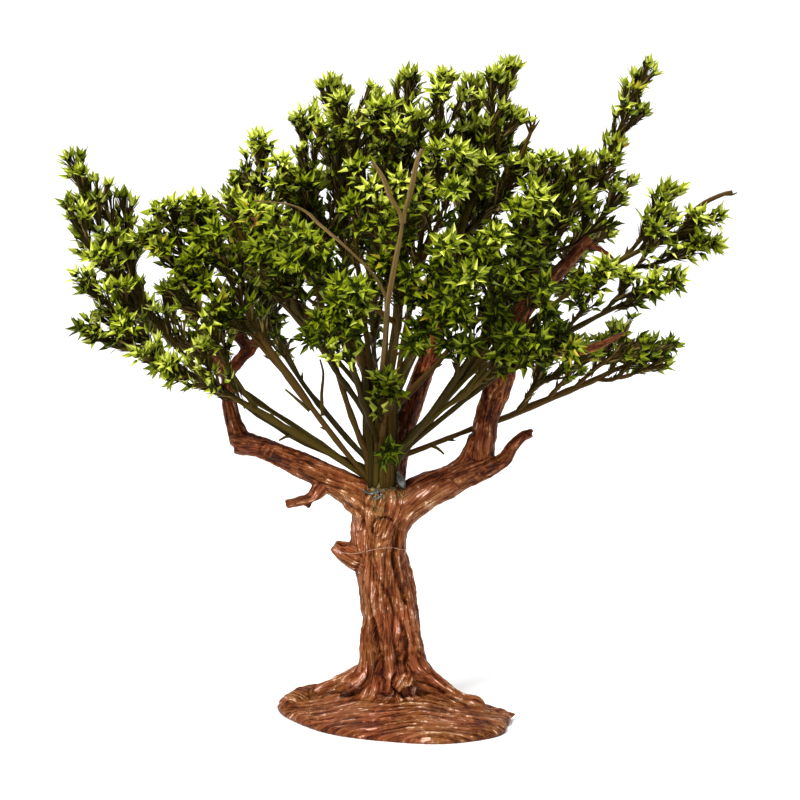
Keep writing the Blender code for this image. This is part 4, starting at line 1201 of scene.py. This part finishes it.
# Where the sky shows through the crown: x, y and reach in pixels of the camera's picture.
SKY_PIXELS = [
    (591, 128, 15), (636, 146, 8), (205, 302, 9), (215, 273, 8), (112, 222, 7), (147, 264, 9),
    (270, 345, 8), (457, 210, 7), (419, 232, 8), (417, 312, 10), (362, 98, 8), (454, 95, 6),
    (626, 291, 6), (642, 245, 8), (605, 247, 5), (647, 371, 8), (584, 324, 12), (98, 171, 8),
    (57, 205, 7), (100, 224, 6), (161, 199, 9), (212, 185, 9), (237, 151, 9), (291, 149, 8),
    (305, 102, 7), (284, 118, 6), (388, 83, 8), (409, 60, 6), (451, 118, 6), (408, 250, 6),
    (421, 279, 8), (447, 178, 6), (537, 204, 6), (550, 150, 6), (535, 152, 6), (629, 134, 7),
    (656, 262, 7), (690, 281, 8), (656, 314, 8), (603, 376, 8), (525, 372, 8), (488, 288, 6),
    (188, 291, 6), (155, 300, 6), (74, 284, 6), (108, 352, 6), (519, 135, 9), (112, 174, 8),
    (682, 170, 9), (646, 176, 7), (622, 318, 8), (655, 385, 7), (683, 270, 5), (693, 294, 7),
    (450, 92, 5), (128, 232, 6), (625, 170, 8), (212, 400, 7), (170, 387, 6), (125, 358, 6),
    (606, 333, 7), (640, 272, 6),
]
PIXEL = 0.3                     # mm to a pixel at the middle depth


def sky_places():
    """The same at the middle depth: x and z to half a millimetre, and reach."""
    across, down, reach = np.array(SKY_PIXELS, float).T
    drop = math.radians(EYE_DROP)
    right = (across - PICTURE / 2) / FOCUS
    up = (PICTURE / 2 - down) / FOCUS
    ahead = math.cos(drop) + up * math.sin(drop)
    x = EYE[0] - EYE[1] * right / ahead
    z = EYE[2] - EYE[1] * (up * math.cos(drop) - math.sin(drop)) / ahead
    return np.column_stack([np.round(2 * x) / 2, np.round(2 * z) / 2, np.round(reach * PIXEL, 1)])


OPEN_SKY = sky_places()


def in_open_sky(tips):
    """Whether a star would fill one of the open places in the crown."""
    scale = EYE[1] / (EYE[1] - tips[:, 1])
    across = tips[:, 0] * scale
    high = EYE[2] + (tips[:, 2] - EYE[2]) * scale
    fills = np.zeros(len(tips), bool)
    for x, z, reach in OPEN_SKY:
        fills |= np.hypot(across - x, high - z) < reach
    return fills


def hides_pale_stems(tips):
    """Whether a shoot's star stands in front of one of the bare pale stems."""
    rows = np.vstack([smooth_row(row, 4) for row in PALE_STEMS])
    rows = rows[rows[:, 2] > PALE_FROM]
    near = np.linalg.norm(tips[:, None, [0, 2]] - rows[None, :, [0, 2]], axis=2) < PALE_GAP
    return (near & (tips[:, None, 1] < rows[None, :, 1] + 1.5)).any(1)


def grow_spray(number, spray, slim, samples, stems):
    """Draws the stems and twigs of one spray and returns its shoots."""
    dice = np.random.default_rng(SEED + number)
    shoots = []
    for order, axis in enumerate(spray_axes(spray, dice)):
        count = len(axis.points)
        radii = np.linspace(axis.radius, axis.tip_radius, count)
        radii = radii * (1 + RADIUS_SCATTER * dice.normal(size=count))
        if order == 0:
            places = np.linspace(0, 1, count)
            swell = sum(np.exp(-((places - fork[0]) / FORK_SWELL_RUN) ** 2)
                        for fork in spray.forks)
            radii = radii * (1 + FORK_SWELL * swell) * np.linspace(1.02, 1.0, count)
        path = axis.points
        add_spurs(stems, axis, number % 3, dice)
        if order == 0:
            path, radii = with_bundle_foot(path, radii, dice)
        stems.add_tube(path, radii, STEM_SIDES, number % 3)
        short = np.linalg.norm(axis.points[-1] - axis.points[0]) < SHOOT_LENGTH
        shoots += shoots_on(axis, SHOOT_LENGTH * (SHORT_SHARE if short else 1), dice)
        if short:
            continue
        for foot, way in growth(axis, TWIG_SPACING, TWIG_LEAN, dice):
            room = np.linalg.norm(axis.points[-1] - foot)
            twig = side_twig(foot, way, room, slim, dice)
            stars = list(shoots_on(twig, TWIG_SHARE * SHOOT_LENGTH, dice))
            if in_open_sky(twig.points[-1:])[0]:
                continue
            stems.add_tube(twig.points, np.linspace(twig.radius, twig.tip_radius, 5),
                           TWIG_SIDES, number % 3)
            shoots += stars
    feet, ways, sizes = [np.array(part) for part in zip(*shoots)]
    ways = facing_out(feet, ways)
    middles = feet + ways * sizes[:, None] * 0.75
    kept = clear_of_limbs(middles, samples, 1.0) & clear_of_limbs(feet, samples, 0.2)
    tips = feet + ways * sizes[:, None]
    kept &= ~hides_pale_stems(tips) & ~hides_bare_bough(tips) & ~hides_bare_bough(middles)
    kept &= ~in_open_sky(tips) & ~in_open_sky(middles)
    feet, ways, sizes = feet[kept], ways[kept], sizes[kept]
    return feet, ways, sizes, tone_of(feet, ways, dice)


def with_bundle_foot(path, radii, dice):
    """Runs a stem on down inside the bundle, which it leaves as one of its strands."""
    out = unit(path[0][:2] - BUNDLE_MIDDLE[:2])
    above = path[0][2] - BUNDLE_FOOT
    drop = min(STRAND_DROP, above) if path[0][2] < BUNDLE_TOP else above
    inner = BUNDLE_FOOT_RADIUS - 1.6 if path[0][2] < BUNDLE_TOP else dice.uniform(1.0, 3.5)
    low = np.array([*(BUNDLE_MIDDLE[:2] + out * inner), path[0][2] - drop])
    side = np.array([*(BUNDLE_MIDDLE[:2] + out * (inner + 1.0)), path[0][2] - 0.45 * drop])
    row = smooth_row([low, side, path[0], path[2]], 5)[:10]
    return np.vstack([row, path]), np.concatenate([np.full(len(row), radii[0]), radii])


def add_bundle(stems, dice):
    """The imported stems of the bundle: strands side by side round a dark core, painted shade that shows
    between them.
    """
    heights = np.linspace(BUNDLE_FOOT, STRAND_TOP, 12)
    radii = np.array([bundle_radius(height) for height in heights])
    middle = np.column_stack([np.full(12, BUNDLE_MIDDLE[0]), np.zeros(12), heights])
    # painted shade: the dark core shows in the gaps between the strands
    stems.add_tube(middle, (radii - 1.3) * np.linspace(1, 0.75, 12), 14, STEM_DARK)
    for i in range(BUNDLE_STRANDS):
        angle = math.tau * (i + dice.uniform(-0.2, 0.2)) / BUNDLE_STRANDS
        turn = angle + 0.07 * np.sin(heights / 7 + 2.3 * i)
        out = radii - 0.75 + 0.2 * np.sin(heights / 5 + 1.7 * i)
        row = np.column_stack([BUNDLE_MIDDLE[0] + out * np.cos(turn), out * np.sin(turn),
                               heights])
        last = dice.integers(8, 13)
        thick = dice.uniform(0.6, 1.05) * np.linspace(1, 0.8, last)
        stems.add_tube(row[:last], thick, 6, dice.integers(0, 3))


def add_spurs(stems, axis, kind, dice):
    """A few short stubs where side stems broke off the bare length of a stem."""
    for _ in range(SPURS):
        place = dice.uniform(0.1, axis.leafy)
        foot, along = point_along(axis.points, place)
        side, other = square_pair(along)
        turn = dice.uniform(0, math.tau)
        way = unit(along + 0.8 * (side * math.cos(turn) + other * math.sin(turn)))
        run = dice.uniform(1.4, 3.4)
        row = [foot, foot + way * run * 0.6, foot + way * run + [0, 0, 0.2]]
        stems.add_tube(row, np.array([0.55, 0.42, 0.14]), 5, kind)


BROKEN_TIP = [                  # rows of points of a bare twig and its four prongs
    [(33, -5, 159), (35, -6, 165.3), (37.6, -6, 171.5), (39.8, -6, 177)],
    [(39.6, -6, 176.4), (38.4, -6.2, 179), (37.2, -6.4, 181.5)],
    [(39.8, -6, 177), (39.5, -5.8, 180.2), (39.1, -5.6, 183)],
    [(40, -6, 177.6), (40.8, -6.4, 179.8), (41.1, -6.4, 181.9)],
    [(39.8, -6, 176.8), (41.2, -6, 178.6), (42.3, -5.8, 180.3)],
]
RIGHT_TIP = [
    [(84, -16.5, 151.5), (89, -17.6, 155.6), (94, -18.4, 158), (97, -18.6, 158.8)],
    [(94.8, -18.4, 158.2), (96.8, -18.6, 158), (98.4, -18.8, 158.6)],
]
BROKEN_SIDES = [                # stubs low on the fan of stems
    [(-25.6, -7, 94.6), (-29.4, -7.4, 98), (-32.8, -8, 101)],
    [(-29.6, -4, 86.4), (-32.6, -4.4, 86.6), (-35, -4.8, 85.4)],
    [(10.6, -3, 83.8), (12.6, -3.4, 82.8), (14.4, -3.8, 81.2)],
    [(-22, -2, 92.6), (-22.3, -1.6, 99), (-21.8, -1, 105.2), (-22.8, -1, 109.5)],
]
PALE_FROM = 116.0               # the pale stems stand behind the leaves below this
PALE_GAP = 4.2                  # kept clear of stars at their sides above it
PALE_STEMS = [                  # bare stems in front of the leaves
    [(-4.6, -6, 100), (-4.2, -20, 107), (-3.1, -35, 117), (-2.3, -42, 126), (-1.1, -44, 133.4),
     (0.4, -44, 141.5), (1.5, -44, 147), (1.9, -44, 150.2)],
    [(1.8, -44, 149.2), (0.9, -44, 152.6), (-1.3, -44, 156.4), (-3.6, -43, 161.8), (-6.4, -41, 166.2)],
    [(1.9, -44, 149.2), (2.6, -44, 152.4), (4.1, -44, 157.7), (5.7, -43, 165.8), (7.3, -41, 169.6)],
    [(-2.2, -42, 128), (-5.5, -44.4, 134.2), (-10.2, -45, 139.4), (-15.8, -45, 144.8),
     (-21.5, -44, 149.6), (-24.4, -43, 152.2), (-29.6, -42, 154.4), (-38.9, -40, 155.5)],
]


def add_bare_twigs(stems):
    """Twigs that have lost their leaves, and ribbed pale ones, each a bunch of strands."""
    for rows in (BROKEN_TIP, RIGHT_TIP):
        for order, row in enumerate(rows):
            points = smooth_row(row, 3)
            thick = np.linspace(0.85, 0.62, len(points)) if order == 0 else np.linspace(
                0.55, 0.18, len(points))
            stems.add_tube(points, thick, 6, STEM_BROWN)
    for row in BROKEN_SIDES:
        points = smooth_row(row, 3)
        stems.add_tube(points, np.linspace(0.7, 0.3, len(points)), 6, STEM_OLIVE)
    for number, row in enumerate(PALE_STEMS):
        points = smooth_row(row, 5)
        size = 0.7 if number == 3 else 1.0
        share = np.linspace(0, 1, len(points))
        for i, shift in enumerate((-0.36, 0.0, 0.36)):
            moved = points + size * np.array([shift, 0.25 * abs(shift), 0.3 * shift * shift])
            moved = moved + 0.14 * np.sin(share[:, None] * 9 + [i, 2 * i, 0])
            stems.add_tube(moved, size * (0.44 - 0.14 * share), 6, STEM_TAN if i else STEM_PALE)


GROUPS = {
    "leaves_left": ["left_low", "far_left", "left_mid", "left_high"],
    "leaves_left_inner": ["left_front", "left_inner", "top_left", "front_left"],
    "leaves_top": ["top_centre", "top_mid", "top_right", "front_mid", "front_tuft"],
    "leaves_right_inner": ["right_inner", "upper_right", "front_right", "right_front"],
    "leaves_right": ["right_tall", "far_right", "right_mid", "right_low"],
    "leaves_back_left": ["back_left_low", "back_left", "back_left_up", "back_top_left",
                         "back_mid"],
    "leaves_back_right": ["back_top", "back_right_mid", "back_top_right", "back_right",
                          "back_right_low"],
}


def make_crown(stem_materials, leaf_materials):
    samples = limb_samples()
    stems = Skin()
    numbers = {name: i for i, name in enumerate(SPRAYS)}
    pieces = []
    for group, names in GROUPS.items():
        skin = Skin()
        dice = np.random.default_rng(SEED * 7 + len(pieces))
        for name in names:
            slim = SLIM_SHARE if name in SLIM else 1
            shoots = grow_spray(numbers[name], SPRAYS[name], slim, samples, stems)
            skin.add(*leaf_blades(shoots, dice))
            skin.add(*bracts(shoots, dice))
        piece = skin.mesh_object(group, leaf_materials, smooth=False)
        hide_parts(*["spray_" + name for name in names])
        pieces.append(piece)
    add_bundle(stems, np.random.default_rng(SEED + 300))
    add_bare_twigs(stems)
    drawn = stems.mesh_object("stems", stem_materials)
    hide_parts("stem_bundle")
    return pieces + [drawn]


# ---------------------------------------------------------------- glue

GLUE_BALLS = [(-4.6, 0, 69.3, 5.4), (-4.6, 0, 71.0, 4.6)]      # middle and radius
GLUE_LUMPS = 26                 # round their edge
GLUE_VOXEL = 0.36
CURL_RADIUS = 0.42
CURL = [(-10.0, 70.6), (-8.4, 69.6), (-6.6, 69.5), (-5.0, 70.2), (-4.4, 69.3), (-5.4, 68.4),
        (-6.6, 68.3)]           # x and z of the clear curl squeezed out in front
FIN = [(2.2, -3.4, 71.0, 0.9), (1.7, -3.6, 72.4, 1.25), (1.0, -3.4, 74.2, 0.9),
       (0.5, -3.2, 76.0, 0.3)]
CRUMBS = 110
CRUMB_PLACES = ((-8.4, 3.0), (67.6, 71.6))      # limits of x and z
STREAK_PLACES = ((-7.4, -3.4), (62.2, 70.0))    # for every third crumb, down the trunk
CRUMB_RADII = np.array([0.06, 0.17, 0.17, 0.06])
THREAD_RADIUS = 0.11
THREAD = [(-18.6, 53.4), (-17.0, 52.0), (-15.0, 51.4), (-12.4, 51.3), (-9.5, 52.0), (-6.0, 53.0),
          (-3.0, 53.4), (0.0, 53.0), (2.2, 52.6), (3.2, 52.5)]  # x and z round the trunk


def front_finder(bark):
    """A function that gives the point of the bark seen from the front at a place."""
    tree = BVHTree.FromObject(bark, bpy.context.evaluated_depsgraph_get())

    def on_front(x, z, proud):
        hit = tree.ray_cast(Vector((x, -60, z)) * MM, Vector((0, 1, 0)))[0]
        y = -6.0 if hit is None else hit.y / MM
        return np.array([x, y - proud, z])

    return on_front


def ball_rings(x, y, z, radius):
    heights = np.linspace(-0.98, 0.98, 9)
    angles = math.tau * np.arange(14) / 14
    return [np.column_stack([x + radius * math.sqrt(1 - h * h) * np.cos(angles),
                             y + radius * math.sqrt(1 - h * h) * np.sin(angles),
                             np.full(14, z + radius * 0.8 * h)]) for h in heights]


def make_glue(crust, clear, on_front):
    """Dusty glue round the foot of the bundle, with a clear fin and a squeezed-out curl."""
    dice = np.random.default_rng(SEED + 500)
    skin = Skin()
    for ball in GLUE_BALLS:
        skin.add_rings(ball_rings(*ball))
    for i in range(GLUE_LUMPS):
        angle = math.tau * i / GLUE_LUMPS + dice.uniform(-0.2, 0.2)
        out = GLUE_RADIUS - 2.5 + dice.uniform(-0.9, 0.5)
        skin.add_rings(ball_rings(-4.6 + out * math.cos(angle), 0.85 * out * math.sin(angle),
                                  70.0 + dice.uniform(-0.9, 2.4), dice.uniform(0.6, 1.2)))
    glue = skin.mesh_object("glue_blob")
    remeshed(glue, GLUE_VOXEL, 3)
    spots, facing = places_and_normals(glue)
    move_points(glue, spots + facing * (0.4 * noise(spots / 1.3, 8))[:, None])
    give_material(glue, crust)
    skin = Skin()
    skin.add_tube([on_front(x, z, 0.25) for x, z in smooth_row(CURL, 4)], CURL_RADIUS, 8)
    rows = smooth_row(FIN, 4)
    skin.add_tube(rows[:, :3], rows[:, 3], 10)
    edge = skin.mesh_object("clear_glue", [clear])
    return glue, edge


def make_strands(on_front, straw, moss, thread):
    """Crumbs of dried residue below the glue, and a fine thread round the trunk."""
    dice = np.random.default_rng(SEED + 900)
    skin = Skin()
    for i in range(CRUMBS):
        x, z = (dice.uniform(*limits) for limits in CRUMB_PLACES)
        if i % 3 == 0:
            x, z = (dice.uniform(*limits) for limits in STREAK_PLACES)
        way = unit(np.array([0.5 * dice.normal(), 1.0]))
        span = dice.uniform(0.5, 1.7)
        row = [on_front(x + way[0] * t, z + way[1] * t, 0.04)
               for t in np.linspace(-span / 2, span / 2, 4)]
        skin.add_tube(row, dice.uniform(0.6, 1.1) * CRUMB_RADII, 5, i % 3 % 2)
    residue = skin.mesh_object("residue", [straw, moss])
    skin = Skin()
    skin.add_tube([on_front(x, z, 0.10) for x, z in smooth_row(THREAD, 4)], THREAD_RADIUS, 5)
    line = skin.mesh_object("fine_thread", [thread])
    return residue, line


# ---------------------------------------------------------------- studio

def make_studio():
    floor, tree, shader = new_material("pale_floor", (0.88, 0.88, 0.88), 0.6, 0.2)
    vary_roughness(tree, shader, surface_noise(tree, 40, 2, 0.5), 0.55, 0.7)
    profile = [(-3.0, 0.0), (3.0, 0.0)]
    profile += [(3.0 + math.sin(a), 1 - math.cos(a)) for a in np.linspace(0, math.pi / 2, 12)[1:]]
    profile += [(4.0, 4.0)]
    points, faces = [], []
    for i, (y, z) in enumerate(profile):
        points += [(-5.0, y, z), (5.0, y, z)]
        if i:
            a = 2 * i - 2
            faces.append((a, a + 1, a + 3, a + 2))
    mesh = bpy.data.meshes.new("floor")
    mesh.from_pydata(points, [], faces)
    mesh.materials.append(floor)
    mesh.polygons.foreach_set("use_smooth", np.full(len(faces), True))
    placed("floor", mesh)


AIM = (0, 0, 0.10)
WHITE = (1, 1, 1)
LIGHTS = [                      # name, place, aim, size in metres, watts and colour
    ("key", (-0.45, -0.72, 0.98), AIM, (0.32, 0.32), 22.5, (1.0, 0.98, 0.94)),
    ("fill", (0.9, -0.6, 0.35), AIM, (0.6, 0.6), 3.0, WHITE),
    ("top", (0.1, 0.0, 1.1), AIM, (0.6, 0.6), 11.0, WHITE),
    ("backdrop", (0, 1.6, 2.2), (0, 2.9, 0.5), (4.0, 1.0), 120.0, WHITE),
]
SKY_COLOUR = (0.97, 0.98, 1.0, 1)
SKY_STRENGTH = 0.15


def add_light(name, place, target, size, power, colour):
    light = bpy.data.lights.new(name, "AREA")
    light.shape = "RECTANGLE"
    light.size, light.size_y = size
    light.energy = power
    light.color = colour
    item = placed(name, light)
    item.location = place
    item.rotation_euler = (Vector(target) - Vector(place)).to_track_quat("-Z", "Y").to_euler()


def light_scene():
    bpy.context.scene.view_settings.view_transform = "Standard"
    world = bpy.data.worlds.new("studio")
    world.use_nodes = True
    sky = world.node_tree.nodes["Background"]
    sky.inputs["Color"].default_value = SKY_COLOUR
    sky.inputs["Strength"].default_value = SKY_STRENGTH
    bpy.context.scene.world = world
    for light in LIGHTS:
        add_light(*light)


def place_camera():
    data = bpy.data.cameras.new("camera")
    data.sensor_width = SENSOR
    data.lens = LENS
    data.clip_start, data.clip_end = 0.01, 20
    camera = placed("camera", data)
    camera.location = EYE * MM
    camera.rotation_euler = (math.radians(90 - EYE_DROP), 0, 0)
    bpy.context.scene.camera = camera


# ---------------------------------------------------------------- the whole

def main():
    bark_finish = bark_material()
    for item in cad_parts.values():
        give_material(item, bark_finish)
    bark = make_bark(bark_finish)
    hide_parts("base", "trunk", *[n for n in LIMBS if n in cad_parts])
    on_front = front_finder(bark)
    glue, edge = make_glue(crust_material(), clear_glue_material(), on_front)
    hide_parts("glue")
    strands = make_strands(on_front, *[plastic_material(*row) for row in STRAND_COLOURS])
    stem_materials = [plastic_material(*row) for row in STEM_COLOURS]
    leaf_materials = [plastic_material(kind, *finish, LEAF_GRAIN)
                      for kind, finish in LEAF_COLOURS.items()]
    crown = make_crown(stem_materials, leaf_materials)
    for piece in [bark, glue, edge, *strands, *crown]:
        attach(piece, "root")
    make_studio()
    light_scene()
    place_camera()


main()
